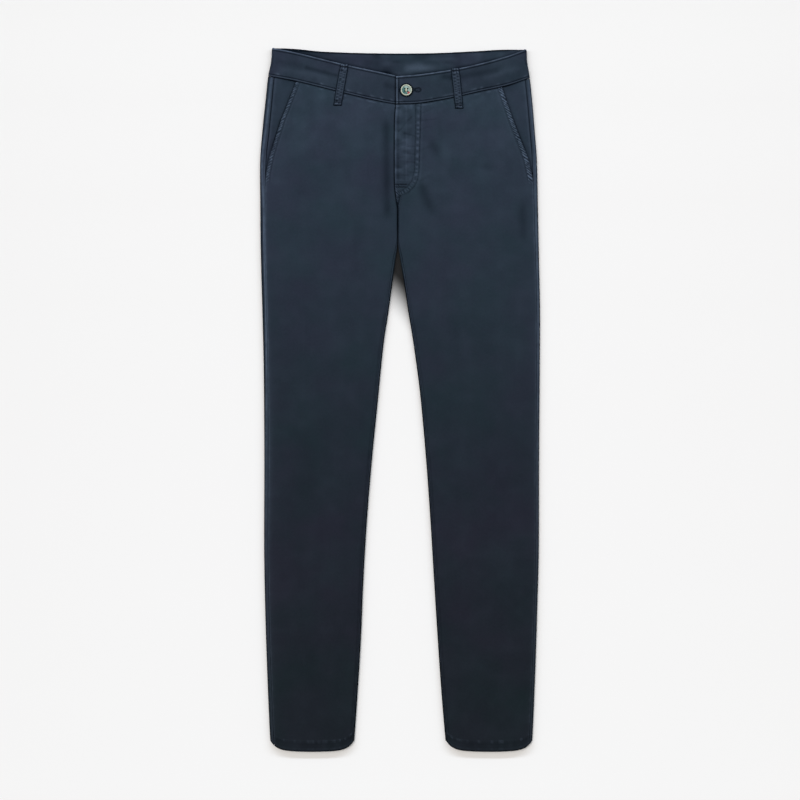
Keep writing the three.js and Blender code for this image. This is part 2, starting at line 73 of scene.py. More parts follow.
RIGHT_DIP, RIGHT_DIP_WIDTH = 1.2, 8
FOLD_FADE, FOLD_END = 14, 24
HEM_CORNER, HEM_ROUND, HEM_SAG = 1039, 12.4, 3.6
HEM_MIDDLE = {"right": (-131.8, 62.6), "left": (133.6, 64.6)}
HEM_TURN = 15  # from the hem's edge up to its stitches
LOOP_WIDTH = 13
BACK_LOOP_LENGTH = 61
BUTTON_X, BUTTON_DROP = 9.9, 62.9
DISC_X, DISC_DROP = 9.5, 63.7
BUTTON_HOLES = [(x, y) for x in (-2.0, 1.9) for y in (-1.9, 1.9)]
BUTTON_HOLE_RADIUS = 1.1
HOLE_X, HOLE_DROP = 26.5, 63.4  # round end of the buttonhole

# Camera and surroundings: metres, and the lens and its frame in millimetres
CAMERA_HEIGHT, LENS, LENS_FRAME = 3.005, 90, 36
FLOOR_SIZE, FLOOR_Z = 9, -0.0003
SURROUND_LIGHT = 0.39

OUT = {"right": -1, "left": 1}
UP = np.array([0.0, 0.0, 1.0])


def table(columns, rows):
    """A table's columns by name, each an array."""
    return {name: np.array([row[i] for row in rows]) for i, name in enumerate(columns.split())}


OUTLINE = table("drop right left", [
    (-10, -191.5, 189.0), (0, -192.0, 189.6), (21, -193.5, 190.8), (42, -197.7, 194.3),
    (78, -201.6, 198.2), (123, -206.4, 202.1), (168, -209.8, 205.4), (235, -209.6, 206.8),
    (303, -209.0, 208.2), (393, -206.6, 210.0), (483, -204.5, 209.6), (618, -203.6, 208.6),
    (753, -203.9, 208.2), (843, -202.3, 205.9), (933, -199.4, 203.0), (1023, -195.6, 199.3),
    (1060, -193.2, 196.9),
])
LEG_GAP = table("drop right left", [
    (CROTCH, -3.5, -3.2), (270, -3.6, -3.1), (295, -4.0, -2.7), (320, -7.4, 0.9), (344, -10.5, 4.9),
    (392, -16.8, 11.9), (438, -23.9, 19.4), (483, -28.8, 25.8), (528, -33.2, 31.2), (618, -42.2, 39.2),
    (708, -49.6, 45.6), (798, -55.0, 51.0), (888, -58.8, 56.7), (978, -64.4, 63.0), (1060, -70.2, 70.2),
])
FLY_EDGE = table("drop x", [
    (40, -6.0), (82, -6.2), (105, -7.8), (150, -8.3), (206, -7.9), (226, -5.9), (CROTCH, BACK_SEAM_X),
    (300, BACK_SEAM_X),
])
SIDE_SEAM = table("drop right left", [
    (30, 9.0, 7.0), (115, 10.0, 7.0), (140, 9.8, 6.8), (168, 8.6, 6.5), (235, 7.2, 5.6), (303, 6.4, 5.0),
    (400, 6.4, 4.6), (1060, 5.6, 4.6),
])
POCKET_MOUTH = table("drop right left", [
    (40, 36.0, 40.0), (75, 25.5, 31.5), (108, 15.7, 23.0), (140, 8.8, 13.6), (168, 3.9, 5.2),
    (188, 0.8, 1.5), (200, 0, 0),
])
WAIST = {
    "right": table("x top seam", [
        (-200, -2.0, 41.6), (-192, -0.3, 43.2), (-160, 5.9, 49.0), (-120, 15.6, 58.5), (-80, 25.4, 68.6),
        (-40, 33.9, 77.9), (-8, 40.6, 83.6), (10, 43.4, 82.8), (40, 43.0, 80.8),
    ]),
    "left": table("x top seam", [
        (-10, 43.0, 84.5), (30, 39.6, 82.9), (80, 32.0, 74.3), (120, 23.4, 65.3), (160, 12.4, 56.6),
        (190, 1.7, 46.8), (200, -1.3, 43.6),
    ]),
}
# Lighter ridge outside the side seam, wear together with a painted highlight where the rolled edge catches
# the light, as a distance in from the edge
RIDGE = table("drop right left worn", [
    (60, 5.6, 2.6, 0.32), (115, 5.4, 2.5, 0.36), (168, 2.8, 2.5, 0.4), (258, 5.6, 2.8, 0.58),
    (378, 5.8, 2.4, 0.64), (603, 2.7, 2.2, 0.6), (800, 2.8, 2.0, 0.26), (1060, 2.6, 2.0, 0.14),
])
# Painted highlight: how much lighter the front is painted beside its outer seam, where its rounded edge
# catches the light
LIT = table("drop right left", [
    (186, 0.05, 0.05), (300, 0.12, 0.1), (450, 0.26, 0.14), (600, 0.42, 0.18), (740, 0.3, 0.1),
    (1060, 0.06, 0.05),
])
HEIGHT = table("drop z", [(30, 9.2), (75, 9.0), (105, 8.4), (135, 7.6), (300, 7.6), (1060, 7.5)])
CROTCH_ROLL = table("drop roll arc front_in", [
    (200, 0, 7.0, 0), (215, 0.35, 7.0, 0), (228, 0.7, 7.0, 0), (240, 1, 6.5, 0.15), (281, 1, 7.1, 0.3),
    (296, 1, 8.2, 1.7), (312, 1, 9.92, 3.15),
])

# Soft folds of the front: from one point to another, with width and rise
FOLDS = table("x drop to_x to_drop width rise", [
    (-21, 100, -19, 262, 6.2, -0.9), (43, 128, 60, 170, 7.5, -0.8), (28, 194, 50, 254, 7.5, -0.8),
    (78, 166, 122, 158, 10, 0.3), (112, 176, 150, 182, 6, -0.5), (183, 222, 186, 300, 7, -0.7),
    (-165, 216, -128, 219, 5, -0.15), (-118, 300, -96, 470, 14, 0.2), (-60, 250, -74, 360, 10, -0.3),
    (96, 300, 108, 520, 16, 0.2), (64, 330, 84, 450, 10, -0.3), (-150, 560, -128, 700, 14, -0.25),
    (-96, 620, -104, 800, 12, 0.2), (148, 600, 136, 760, 14, -0.25), (104, 840, 118, 960, 12, 0.2),
    (-140, 860, -122, 980, 12, -0.25),
])

# Short creases on and beside the fly
FLY_CREASES = table("x drop to_x to_drop width rise", [
    (-1.7, 125, 17, 104, 1.4, -0.8), (1, 121, 12, 111, 1.5, 0.4), (6, 128, 24, 133, 1.3, -0.5),
    (-5, 146, 9, 141, 1.3, -0.5), (-4, 151, 6, 148, 1.2, 0.4), (10, 148, 22, 148, 1.2, -0.6),
    (11, 158, 23, 160, 1.2, -0.6), (-4, 166, 7, 163, 1.1, -0.4), (10, 171, 24, 172, 1.2, -0.6),
    (10.2, 150, 10.4, 190, 1.0, -0.4), (-4, 180, 6, 178, 1.2, -0.45), (12, 186, 24, 187, 1.2, -0.45),
    (-6, 191, 12, 191, 1.2, -0.6), (-5, 198, 15, 199, 1.4, 0.5), (14, 196, 26, 190, 1.3, 0.4),
    (34, 98, 50, 90, 1.4, -0.4), (33, 109, 54, 107, 1.4, -0.4), (33, 122, 41, 118, 1.3, -0.4),
    (31, 153, 44, 148, 1.6, -0.4), (31, 194, 46, 186, 1.6, 0.2), (30, 200, 44, 192, 1.6, -0.3),
])

# Soft folds of the waistband
BAND_FOLDS = table("x drop to_x to_drop width rise", [
    (-182, 21, -150, 27, 5, -0.4), (-140, 30, -96, 41.5, 2.8, -0.9), (-176, 33, -112, 43, 5, 0.2),
    (66, 44, 80, 45, 4, -0.9), (94, 43, 144, 34, 4.5, -0.6), (-20, 56, -8, 60, 5, -0.6),
    (128, 43, 176, 31, 5, 0.3),
])

# Lines that are sewn on the left front: the fly's two curved rows, the tack at its foot and the rise
FLY_OUTER = [
    (31.5, 84), (30.3, 123), (28.5, 183), (26.4, 197), (21.7, 207), (13, 216), (0, 222.2), (-4.6, 224.2),
]
FLY_INNER = [(23.6, 84), (23.4, 123), (21.7, 183), (18, 198), (10.5, 208.6), (1.5, 214.5), (-6.6, 217.5)]
FLY_TACKS = [[(-7.6, 204.2), (10.0, 204.2)], [(-7.2, 208.2), (9.0, 208.2)]]
RISE_ROW = [(0.3, 221), (-1.5, 228.3), (-3.0, 235.8), (-3.6, 244)]
STITCH = 3.4
WELT_PITCH = 4.5
WELT_IN = {"right": 6.6, "left": 8.6}
WELT_ROWS = (1.9, 7.2)
# Painted light beside the side seam, which lifts the shade of the gap between the front and the back
SEAM_PAINTED_LIGHT = {"right": 0.4, "left": 0.3}


def clamp(x, low, high):
    return np.minimum(np.maximum(x, low), high)


def over(x):
    """A value where it is above nought, and nought elsewhere."""
    return np.maximum(x, 0)


def lerp(a, b, t):
    return a + (b - a) * t


def smooth(t):
    t = clamp(t, 0, 1)
    return t * t * (3 - 2 * t)


def curve(rows, key, name):
    """A smooth curve through one column of a table, as a function of its key column."""
    at, value = rows[key].astype(float), rows[name].astype(float)
    last = len(at) - 1
    low = over(np.arange(last + 1) - 1)
    high = np.minimum(np.arange(last + 1) + 1, last)
    slope = (value[high] - value[low]) / (at[high] - at[low])

    def found(x):
        x = np.asarray(x, float)
        i = clamp(np.searchsorted(at, x, side="right") - 1, 0, last - 1)
        span = at[i + 1] - at[i]
        t = clamp((x - at[i]) / span, 0, 1)
        rise = value[i + 1] - value[i]
        bend = (1 - t) * (slope[i] * span - rise) - t * (slope[i + 1] * span - rise)
        return value[i] + rise * t + t * (1 - t) * bend

    return found


def line(rows, key, name):
    """The same in straight lines."""
    return lambda x: np.interp(x, rows[key], rows[name])


EDGE = {side: curve(OUTLINE, "drop", side) for side in OUT}
GAP = {side: curve(LEG_GAP, "drop", side) for side in OUT}
SEAM_IN = {side: curve(SIDE_SEAM, "drop", side) for side in OUT}
MOUTH = {side: line(POCKET_MOUTH, "drop", side) for side in OUT}
TOP = {side: curve(WAIST[side], "x", "top") for side in OUT}
SEAM = {side: curve(WAIST[side], "x", "seam") for side in OUT}
fly_edge = curve(FLY_EDGE, "drop", "x")
top_height = curve(HEIGHT, "drop", "z")
RIDGE_IN = {side: line(RIDGE, "drop", side) for side in OUT}
RIDGE_WEAR_AND_HIGHLIGHT = line(RIDGE, "drop", "worn")
EDGE_LIGHT = {side: line(LIT, "drop", side) for side in OUT}
crotch_roll = line(CROTCH_ROLL, "drop", "roll")
crotch_arc = line(CROTCH_ROLL, "drop", "arc")
crotch_front_in = line(CROTCH_ROLL, "drop", "front_in")


def place(x, drop, z):
    """Points from x, a drop and a height."""
    return np.stack(np.broadcast_arrays(x, LENGTH / 2 - np.asarray(drop, float), z), -1)


def back_lift(drop):
    return BACK_LIFT * (1 - smooth((drop - BACK_LIFT_FROM) / (BACK_LIFT_TO - BACK_LIFT_FROM)))


def section_height(drop):
    return top_height(drop) - back_lift(drop)


def back_top(x):
    return -0.3 - 0.7 * smooth((x - 40) / 70) + (BACK_TOP_DIP + 0.3) * (1 - (x / 192) ** 2)


def back_seam(x):
    right = SEAM["right"](EDGE["right"](BAND_DROP))
    left = SEAM["left"](EDGE["left"](BAND_DROP))
    return lerp(right, left, (x + 197) / 391) + BACK_SEAM_DIP * (1 - (x / 195) ** 2)


def hem(side, x):
    middle, half = HEM_MIDDLE[side]
    v = clamp(np.abs((x - middle) / half), 0, 1)
    return HEM_CORNER + HEM_ROUND * (1 - v**7) + HEM_SAG * (1 - v**2)


def inner_edge(side, drop, is_front):
    centre = fly_edge(drop) if is_front else BACK_SEAM_X
    return np.where(np.asarray(drop) >= CROTCH, GAP[side](drop), centre + OUT[side] * HALF_GAP)


def from_outer(side, x, drop):
    """Distance in from the outer edge."""
    return OUT[side] * (EDGE[side](drop) - x)


def from_inner(side, x, drop, is_front=True):
    """Distance in from the inner edge of a panel."""
    return OUT[side] * (x - inner_edge(side, drop, is_front))


def edge_height(height, inset):
    """Height of the rolled edge over the underside, at a distance in from the edge."""
    arc = EDGE_RADIUS + np.sqrt(over(EDGE_RADIUS**2 - (EDGE_RADIUS - inset) ** 2))
    width = 2 * (height - ARC_END_UP) / SHOULDER_SLOPE
    left = over(ARC_END_IN + width - inset)
    return np.where(inset <= ARC_END_IN, arc, height - SHOULDER_SLOPE / (2 * width) * left**2)


def from_line(x, drop, points):
    """Distance from a row of points, and how far along it the nearest place is."""
    best = np.full(np.shape(x), 1e9)
    along = np.zeros(np.shape(x))
    gone = 0.0
    for (ax, ad), (bx, bd) in zip(points, points[1:]):
        dx, dd = bx - ax, bd - ad
        length = math.hypot(dx, dd)
        t = clamp(((x - ax) * dx + (drop - ad) * dd) / length**2, 0, 1)
        away = np.hypot(x - ax - t * dx, drop - ad - t * dd)
        along = np.where(away < best, gone + t * length, along)
        best = np.minimum(best, away)
        gone += length
    return best, along


def wander(x, size, seed):
    """Smooth uneven values from -1 to 1 along a line, one change in each size."""
    values = np.random.default_rng(seed).uniform(-1, 1, 512)
    at = np.asarray(x, float) / size + 200.5
    i = np.floor(at).astype(int)
    return lerp(values[i % 512], values[(i + 1) % 512], smooth(at - i))


def by_side(first, side):
    """A seed for the left side and the next one for the right."""
    return first + (side == "right")


def drift(x, drop, size, seed):
    """The same, over the cloth."""
    values = np.random.default_rng(seed).uniform(-1, 1, (64, 64))
    u, v = np.asarray(x, float) / size + 500.3, np.asarray(drop, float) / size + 500.7
    i, j = np.floor(u).astype(int), np.floor(v).astype(int)
    s, t = smooth(u - i), smooth(v - j)
    a = lerp(values[i % 64, j % 64], values[(i + 1) % 64, j % 64], s)
    b = lerp(values[i % 64, (j + 1) % 64], values[(i + 1) % 64, (j + 1) % 64], s)
    return lerp(a, b, t)


def fold_rise(rows, x, drop, fade=None):
    """The rise of a table's folds, which may fade towards both ends over a length."""
    total = np.zeros(np.shape(x))
    for fx, fd, tx, td, width, rise in zip(*rows.values()):
        away, along = from_line(x, drop, [(fx, fd), (tx, td)])
        ends = 1
        if fade:
            left = math.hypot(tx - fx, td - fd) - along
            ends = smooth(along / fade + 0.1) * smooth(left / fade + 0.1)
        total += rise * bell(away, width) * ends
    return total


def front_height(side, x, drop):
    height = section_height(drop)
    outer_in = from_outer(side, x, drop)
    inner_in = from_inner(side, x, drop)
    outer_drop = height - edge_height(height, over(outer_in))
    rolled = lerp(0.12, 1, smooth((drop - 268) / 40)) * smooth((drop - 236) / 20)
    inner_drop = (height - edge_height(height, over(inner_in))) * rolled
    near_centre = np.where(drop < CROTCH, 1, smooth(inner_in / FOLD_FADE))
    fade = smooth((outer_in - 6) / FOLD_FADE) * near_centre * smooth((HEM_CORNER - drop) / 40)
    z = back_lift(drop) + height - outer_drop - inner_drop + fold_rise(FOLDS, x, drop, FOLD_END) * fade
    below = smooth((FLY_END + 24 - drop) / 24)
    if side == "left":
        return z + FLY_RAISE * below * smooth((FLY_WIDTH + 8 - inner_in) / 8)
    return z - RIGHT_DIP * below * smooth((RIGHT_DIP_WIDTH - inner_in) / RIGHT_DIP_WIDTH)


# Meshes


def add_object(name, data):
    obj = bpy.data.objects.new(name, data)
    bpy.context.scene.collection.objects.link(obj)
    return obj


def mesh_object(name, points, faces, attributes=None):
    """A mesh from points in millimetres and faces by index, with values kept at its points."""
    data = bpy.data.meshes.new(name)
    data.from_pydata([tuple(p) for p in np.asarray(points, float) / 1000], [], [tuple(f) for f in faces])
    for key, values in (attributes or {}).items():
        layer = data.attributes.new(key, "FLOAT", "POINT")
        layer.data.foreach_set("value", np.asarray(values, np.float32).ravel())
    data.polygons.foreach_set("use_smooth", [True] * len(data.polygons))
    data.update()
    return add_object(name, data)


def normals(grid):
    down = np.gradient(grid, axis=0)
    across = np.gradient(grid, axis=1)
    n = np.cross(down, across)
    return n / np.linalg.norm(n, axis=2, keepdims=True)


def border_distance(grid, square=None):
    """Distance of each point of a grid from the nearest of its borders, but for a square-cut one."""
    found = np.full(grid.shape[:2], 1e9)
    for axis in (0, 1):
        step = np.linalg.norm(np.diff(grid, axis=axis), axis=2)
        start = np.insert(np.cumsum(step, axis=axis), 0, 0, axis=axis)
        total = start[-1:, :] if axis == 0 else start[:, -1:]
        if axis == 0 or square != "start":
            found = np.minimum(found, start)
        if axis == 0 or square != "stop":
            found = np.minimum(found, total - start)
    return found


def cloth_wall(name, grid, thickness, roll, values, upright=False, square=None):
    """A closed wall of cloth with rounded edges. The grid is its outer face, row by row down."""
    rows, columns = grid.shape[:2]
    normal = np.broadcast_to(UP, grid.shape) if upright else normals(grid)
    roll = min(roll, 0.45 * thickness)
    near = clamp(roll - border_distance(grid, square), 0, roll)
    sunk = (roll - np.sqrt(roll**2 - near**2))[..., None]
    outer = grid - normal * sunk
    inner = grid - normal * (thickness - sunk)
    count = rows * columns
    at = np.arange(count).reshape(rows, columns)
    top = np.stack([at[:-1, :-1], at[1:, :-1], at[1:, 1:], at[:-1, 1:]], -1).reshape(-1, 4)
    sides = [(at[:, 0], False), (at[:, -1], True), (at[0, :], True), (at[-1, :], False)]
    faces = [top, top[:, ::-1] + count]
    for ring, flip in sides:
        strip = np.stack([ring[:-1], ring[:-1] + count, ring[1:] + count, ring[1:]], -1)
        faces.append(strip[:, ::-1] if flip else strip)
    both = {key: np.concatenate([v.ravel(), v.ravel()]) for key, v in values.items()}
    points = np.concatenate([outer.reshape(-1, 3), inner.reshape(-1, 3)])
    return mesh_object(name, points, np.concatenate(faces), both)


def panel_rows():
    """Rows of a leg panel: weights of its top seam, of a fixed drop and of its hem."""
    top = np.concatenate([[0, 0.005, 0.012, 0.022, 0.036], np.linspace(0.055, 1, 78)[:-1]])
    straight = np.concatenate([np.arange(STRAIGHT_FROM, 247, 1.2), np.arange(247, STRAIGHT_TO, 3.4)])
    down = np.concatenate([np.linspace(0, 0.93, 30), [0.945, 0.958, 0.968, 0.977, 0.985, 0.992, 0.997, 1]])
    zero = np.zeros
    return (
        np.concatenate([1 - top, zero(len(straight) + len(down))]),
        np.concatenate([top * STRAIGHT_FROM, straight, (1 - down) * STRAIGHT_TO]),
        np.concatenate([zero(len(top) + len(straight)), down]),
    )


ROWS = panel_rows()


def row_drop(side, x, top):
    """Drops of all rows at x: an array with a row for each."""
    shape = (-1,) + (1,) * (np.ndim(x) - 1)
    at_top, fixed, at_hem = (w.reshape(shape) for w in ROWS)
    return at_top * top(x) + fixed + at_hem * hem(side, x)


def meet(side, boundary, start, top):
    """x where each row crosses a boundary."""
    x = np.full(len(ROWS[0]), float(start))
    for _ in range(6):
        x = boundary(row_drop(side, x, top))
    return x


def bell(away, width):
    """A soft peak, one where away is nought."""
    return np.exp(-((away / width) ** 2))


def beads(along, pitch, seed):
    """Uneven puckers in a row, from 0 to 1."""
    return 0.5 + 0.5 * np.cos(2 * math.pi * (along / pitch + 0.4 * wander(along, 2.2 * pitch, seed)))


def dashes(along, pitch):
    """One on each stitch of a row, less in the gaps between."""
    return 0.55 + 0.45 * np.cos(2 * math.pi * along / pitch)


class Relief:
    """What sewing and wear do to a surface: its rise in millimetres, and how much lighter and darker it is,
    from wear, dark seams and painted highlights and shade.
    """

    def __init__(self, shape):
        self.rise, self.worn, self.groove = np.zeros(shape), np.zeros(shape), np.zeros(shape)

    def add(self, rise=0, worn=0, groove=0):
        """Adds to all three; raised places also get a painted highlight and sunk ones painted shade."""
        self.rise = self.rise + rise
        self.worn = self.worn + worn + 0.22 * over(rise)
        self.groove = self.groove + groove + 0.35 * over(-np.asarray(rise))

    def values(self, order=slice(None)):
        """How much lighter and how much darker each point is painted, from 0 to 1, with the columns in an
        order.
        """
        return {key: clamp(getattr(self, key), 0, 1)[:, order] for key in ("worn", "groove")}


def ridge_wear_and_highlight(side, drop, edge_in):
    """How light the ridge along the outer edge is: wear together with a painted highlight."""
    share = 1 if side == "right" else 0.75
    uneven = 1 + 0.3 * wander(drop, 4.2, 52) + 0.2 * wander(drop, 21, 54)
    return share * RIDGE_WEAR_AND_HIGHLIGHT(drop) * uneven * bell(edge_in - RIDGE_IN[side](drop), 1.7)


def pocket_relief(found, side, x, drop):
    """The turned, twisted edge of the pocket's mouth with its row of stitches, painted with shade along the
    mouth and between the puckers, whose tops are lighter.
    """
    into = from_outer(side, x, drop) - SEAM_IN[side](drop) - MOUTH[side](drop)
    on = smooth((206 - drop) / 12)
    low = smooth((drop - 140) / 25)
    puckers = beads(drop + 0.9 * into, WELT_PITCH, by_side(7, side))
    puckers = clamp(puckers + 0.35 * drift(x, drop, 2.6, 17) + 0.15 * drift(x, drop, 11, 18), 0, 1)
    welt = on * smooth((into - 0.6) / 0.8) * smooth((WELT_IN[side] - 0.4 - into) / 1.4)
    row = on * bell(into - WELT_IN[side], 1.0)
    beyond = on * bell(into - WELT_IN[side] - 2.6, 1.3)
    found.add(
        rise=welt * (0.45 * puckers - 0.05) - 0.25 * row,
        worn=welt * (0.6 + 0.25 * low) * puckers**2 + 0.1 * beyond * puckers,
        groove=(1.1 - 0.8 * low) * on * bell(into + 0.1, 1.1) + 0.75 * welt * (1 - puckers) ** 1.5,
    )
    found.add(groove=0.25 * row * dashes(drop, STITCH))


def seam_relief(found, side, x, drop):
    """The outer seam under the pocket, with painted highlights beside it, and the inner seam of the leg,
    with painted shade along its edge and a lighter ridge.
    """
    edge_in = from_outer(side, x, drop)
    into = edge_in - SEAM_IN[side](drop)
    below = smooth((drop - 186) / 14)
    ripple = wander(drop, 4.5, by_side(11, side))
    near = bell(into, 3.0) * below
    # Painted highlight on the front beside its outer seam
    lit = EDGE_LIGHT[side](drop) * below
    found.add(
        rise=0.2 * ripple * near,
        worn=near * 0.12 * over(ripple) + lit * np.exp(-over(into) / 3.8),
    )
    found.add(worn=below * ridge_wear_and_highlight(side, drop, edge_in))
    # Painted light that lifts the shade of the seam's gap
    found.add(worn=SEAM_PAINTED_LIGHT[side] * bell(into, 1.5) * smooth((drop - 150) / 40))
    inner_in = from_inner(side, x, drop)
    legs = smooth((drop - 300) / 120)
    ripple = wander(drop, 5.2, by_side(21, side))
    found.add(
        rise=0.2 * ripple * bell(inner_in - 4.5, 3.5) * legs,
        worn=legs * (0.16 + 0.16 * over(ripple)) * bell(inner_in - 3.0, 1.2),
        groove=legs * (0.25 * bell(inner_in - 5.6, 1.2) + 0.9 * smooth((1.4 - inner_in) / 1.2)),
    )


def hem_relief(found, side, x, drop):
    """The turned hem, puckered up to its row of stitches, with painted shade along its lower edge where it
    turns under.
    """
    up = hem(side, x) - drop
    turned = smooth((HEM_TURN + 1.5 - up) / 2)
    row = bell(up - HEM_TURN, 1.3)
    pull = wander(x, 6.5, by_side(31, side))
    flecks = over(wander(x, 4, 33))
    found.add(
        rise=0.3 * pull * bell(up - 9, 6) - 0.1 * row,
        worn=row * (0.08 + 0.75 * flecks) + 0.2 * bell(up - 4, 1.1) * (0.4 + flecks),
        groove=0.2 * bell(up - HEM_TURN + 2.6, 1.2) + 0.12 * turned + 0.8 * smooth((2.2 - up) / 1.4),
    )


def fly_relief(found, x, drop):
    """The fly on the left front: two curved rows with puckers between, tacks, creases and its edge, with
    painted highlights on raised places and painted shade in sunk ones.
    """
    outer_away, outer_along = from_line(x, drop, FLY_OUTER)
    inner_away, inner_along = from_line(x, drop, FLY_INNER)
    between = bell(inner_away - outer_away, 4.0) * smooth((8.6 - outer_away - inner_away) / 2)
    pitch = lerp(8.2, 4.2, smooth((drop - 185) / 15))
    chain = beads(outer_along + 2.5 * wander(outer_along, 11, 48), pitch, 41)
    foot = smooth((drop - 186) / 10)
    found.add(
        rise=between * (0.35 * chain - 0.1),
        worn=between * (0.26 + 0.24 * foot) * chain**2 * (1 + 0.5 * wander(outer_along, 14, 49)),
        groove=between * (0.25 + 0.45 * foot) * (1 - chain) ** 2,
    )
    for away, along, first in ((outer_away, outer_along, 43), (inner_away, inner_along, 44)):
        uneven = 0.32 + 0.25 * wander(along, 3.1, first)
        found.add(rise=-0.32 * bell(away, 0.95), groove=bell(away, 0.9) * uneven)
    found.add(worn=0.08 * bell(outer_away - 2.6, 1.5) * smooth((x - 22) / 6) * (0.6 + 0.6 * chain))
    for tack, dark in zip(FLY_TACKS, (0.62, 0.4)):
        away, along = from_line(x, drop, tack)
        ends = smooth(along / 1.5)
        found.add(rise=-0.3 * bell(away, 1.2) * ends, groove=dark * bell(away, 0.95) * ends)
    edge_in = from_inner("left", x, drop)
    lap = smooth((232 - drop) / 12)
    found.add(worn=0.3 * bell(edge_in - 1.6, 1.0) * lap * (0.8 + 0.4 * wander(drop, 7, 47)))
    on_fly = smooth((28 - edge_in) / 6) * smooth((203 - drop) / 8)
    streaks = drift(x * 0.45, drop, 5.5, 45)
    sunk = 0.35 * bell(x - 7.2, 1.6) * smooth((drop - 120) / 10)
    found.add(
        rise=on_fly * (0.35 * streaks - sunk) + fold_rise(FLY_CREASES, x, drop),
        worn=on_fly * (0.03 + 0.14 * over(streaks) + 0.12 * bell(x - 9.4, 1.0)),
        groove=on_fly * (0.2 * over(-streaks) + 0.3 * bell(edge_in - 5.2, 1.6)),
    )
    away, along = from_line(x, drop, RISE_ROW)
    found.add(groove=0.85 * bell(away, 0.8), rise=-0.3 * bell(away, 1.0))
    tacked = smooth((drop - 203) / 3) * smooth((240 - drop) / 10)
    tacked = tacked * smooth((1.5 - x) / 3) * smooth((x + 9) / 2)
    flecks = beads(drop - x, 3.6, 46)
    found.add(groove=0.7 * tacked * (1 - flecks), worn=0.3 * tacked * flecks)


def sewn_relief(side, x, drop):
    """All that sewing and wear do to a front, with the light and shade painted on it."""
    found = Relief(np.shape(x))
    uneven = lerp(0.8, 0.5, smooth((drop - 150) / 120))
    found.add(rise=uneven * (0.25 * drift(x, drop, 34, 3) + 0.16 * drift(x, drop, 13, 4)))
    patches = 0.05 * over(drift(x, drop, 60, 5)) + 0.06 * over(drift(x, drop, 14, 6))
    # Painted light and shade on the folds: lighter on their ridges and darker in their troughs
    fold = fold_rise(FOLDS, x, drop, FOLD_END)
    found.add(worn=uneven * (patches + 0.16 * over(fold)) + 0.033 * (1 - uneven))
    found.add(groove=lerp(0.5, 0.21, smooth((drop - 250) / 80)) * over(-fold))
    pocket_relief(found, side, x, drop)
    seam_relief(found, side, x, drop)
    hem_relief(found, side, x, drop)
    # A sunk seam under the waistband, painted dark as shade, with a lighter line below it
    below_band = drop - SEAM[side](x)
    found.add(rise=-0.4 * bell(below_band, 1.6), groove=0.6 * bell(below_band, 1.1))
    found.add(worn=0.3 * bell(below_band - 3.2, 1.3) * over(wander(x, 5, 9)))
    found.add(worn=0.1 * bell(below_band - 12, 7) * over(drift(x, drop, 7, 10)))
    if side == "left":
        fly_relief(found, x, drop)
    # Painted shade along the inner edges, where the right front runs under the fly and where the fronts meet
    # at the crotch
    inner_in = from_inner(side, x, drop)
    overlapped = smooth((232 - drop) / 12) if side == "right" else 0
    centre = smooth((drop - 222) / 12) * smooth((300 - drop) / 40)
    found.add(groove=bell(inner_in, 1.2) * overlapped + bell(inner_in, 1.55) * centre)
    return found


def front_panel(side):
    """A front, from the waistband's seam to the hem and from the side seam to the inner edge."""
    out = OUT[side]
    top = lambda x: SEAM[side](x) + HALF_GAP
    outer = lambda d: EDGE[side](d) - out * (SEAM_IN[side](d) + over(MOUTH[side](d)) + HALF_GAP)
    inner = lambda d: inner_edge(side, d, True) + out * crotch_front_in(d)
    start = meet(side, outer, out * 170, top)[:, None]
    stop = meet(side, inner, out * 20, top)[:, None]
    at_start = np.array([0, 0.35, 0.8, 1.4, 2.1, 2.9, 3.8, 4.7, 5.6, 6.4, 7.1, 7.8, 8.5, 9.4, 10.6, 12])
    at_stop = np.concatenate([[0, 0.35, 0.8, 1.4, 2.1, 2.9], np.arange(4, 44, 1.15)])
    first, last = start - out * at_start, (stop + out * at_stop)[:, ::-1]
    middle = lerp(first[:, -1:], last[:, :1], np.linspace(0, 1, 46)[1:-1])
    x = np.concatenate([first, middle, last], axis=1)
    if out > 0:
        x = x[:, ::-1]
    drop = row_drop(side, x, top)
    found = sewn_relief(side, x, drop)
    grid = place(x, drop, front_height(side, x, drop) + found.rise)
    return cloth_wall(f"front_cloth_{side}", grid, CLOTH, 1.0, found.values())


def rolled_edge(height, length, roll, turns, shoulders):
    """The rolled edge in section, from the underside up round the edge: distances in and up."""
    s = np.linspace(0, min(length, ARC_LENGTH), turns)
    if roll > 1e-3:
        radius = EDGE_RADIUS / roll
        out, up = radius * np.sin(s / radius), radius * (1 - np.cos(s / radius))
    else:
        out, up = s, np.zeros(turns)
    inset = out.max() - out
    shoulder = length - ARC_LENGTH
    if shoulders:
        more = ARC_END_IN + max(shoulder, 0.05) * np.linspace(0, 1, shoulders + 1)[1:]
        inset, up = np.append(inset, more), np.append(up, edge_height(height, more))
    return inset, up


def edge_relief(found, side, drop, edge_in, on):
    """The wrapped strip outside the side seam: a dark rim of painted shade where it turns under, a ridge of
    wear with a painted highlight, painted light beside the seam and the seam's painted shade.
    """
    ripple = wander(drop, 4.2, by_side(51, side))
    ridge = RIDGE_IN[side](drop)
    seam_in = SEAM_IN[side](drop)
    upper = smooth((170 - drop) / 20)
    rim = 0.9 * smooth((1.6 - edge_in) / 1.3) + 0.4 * smooth((ridge - 1.7 - edge_in) / 1.2)
    seam_painted_light = SEAM_PAINTED_LIGHT[side] * bell(edge_in - seam_in, 1.5) * (1 - upper)
    found.add(
        rise=on * 0.15 * ripple * bell(edge_in - ridge, 2.2),
        worn=on * (0.04 + ridge_wear_and_highlight(side, drop, edge_in) + seam_painted_light),
        groove=on * (rim + 0.3 * upper * bell(edge_in - seam_in, 0.8)),
    )


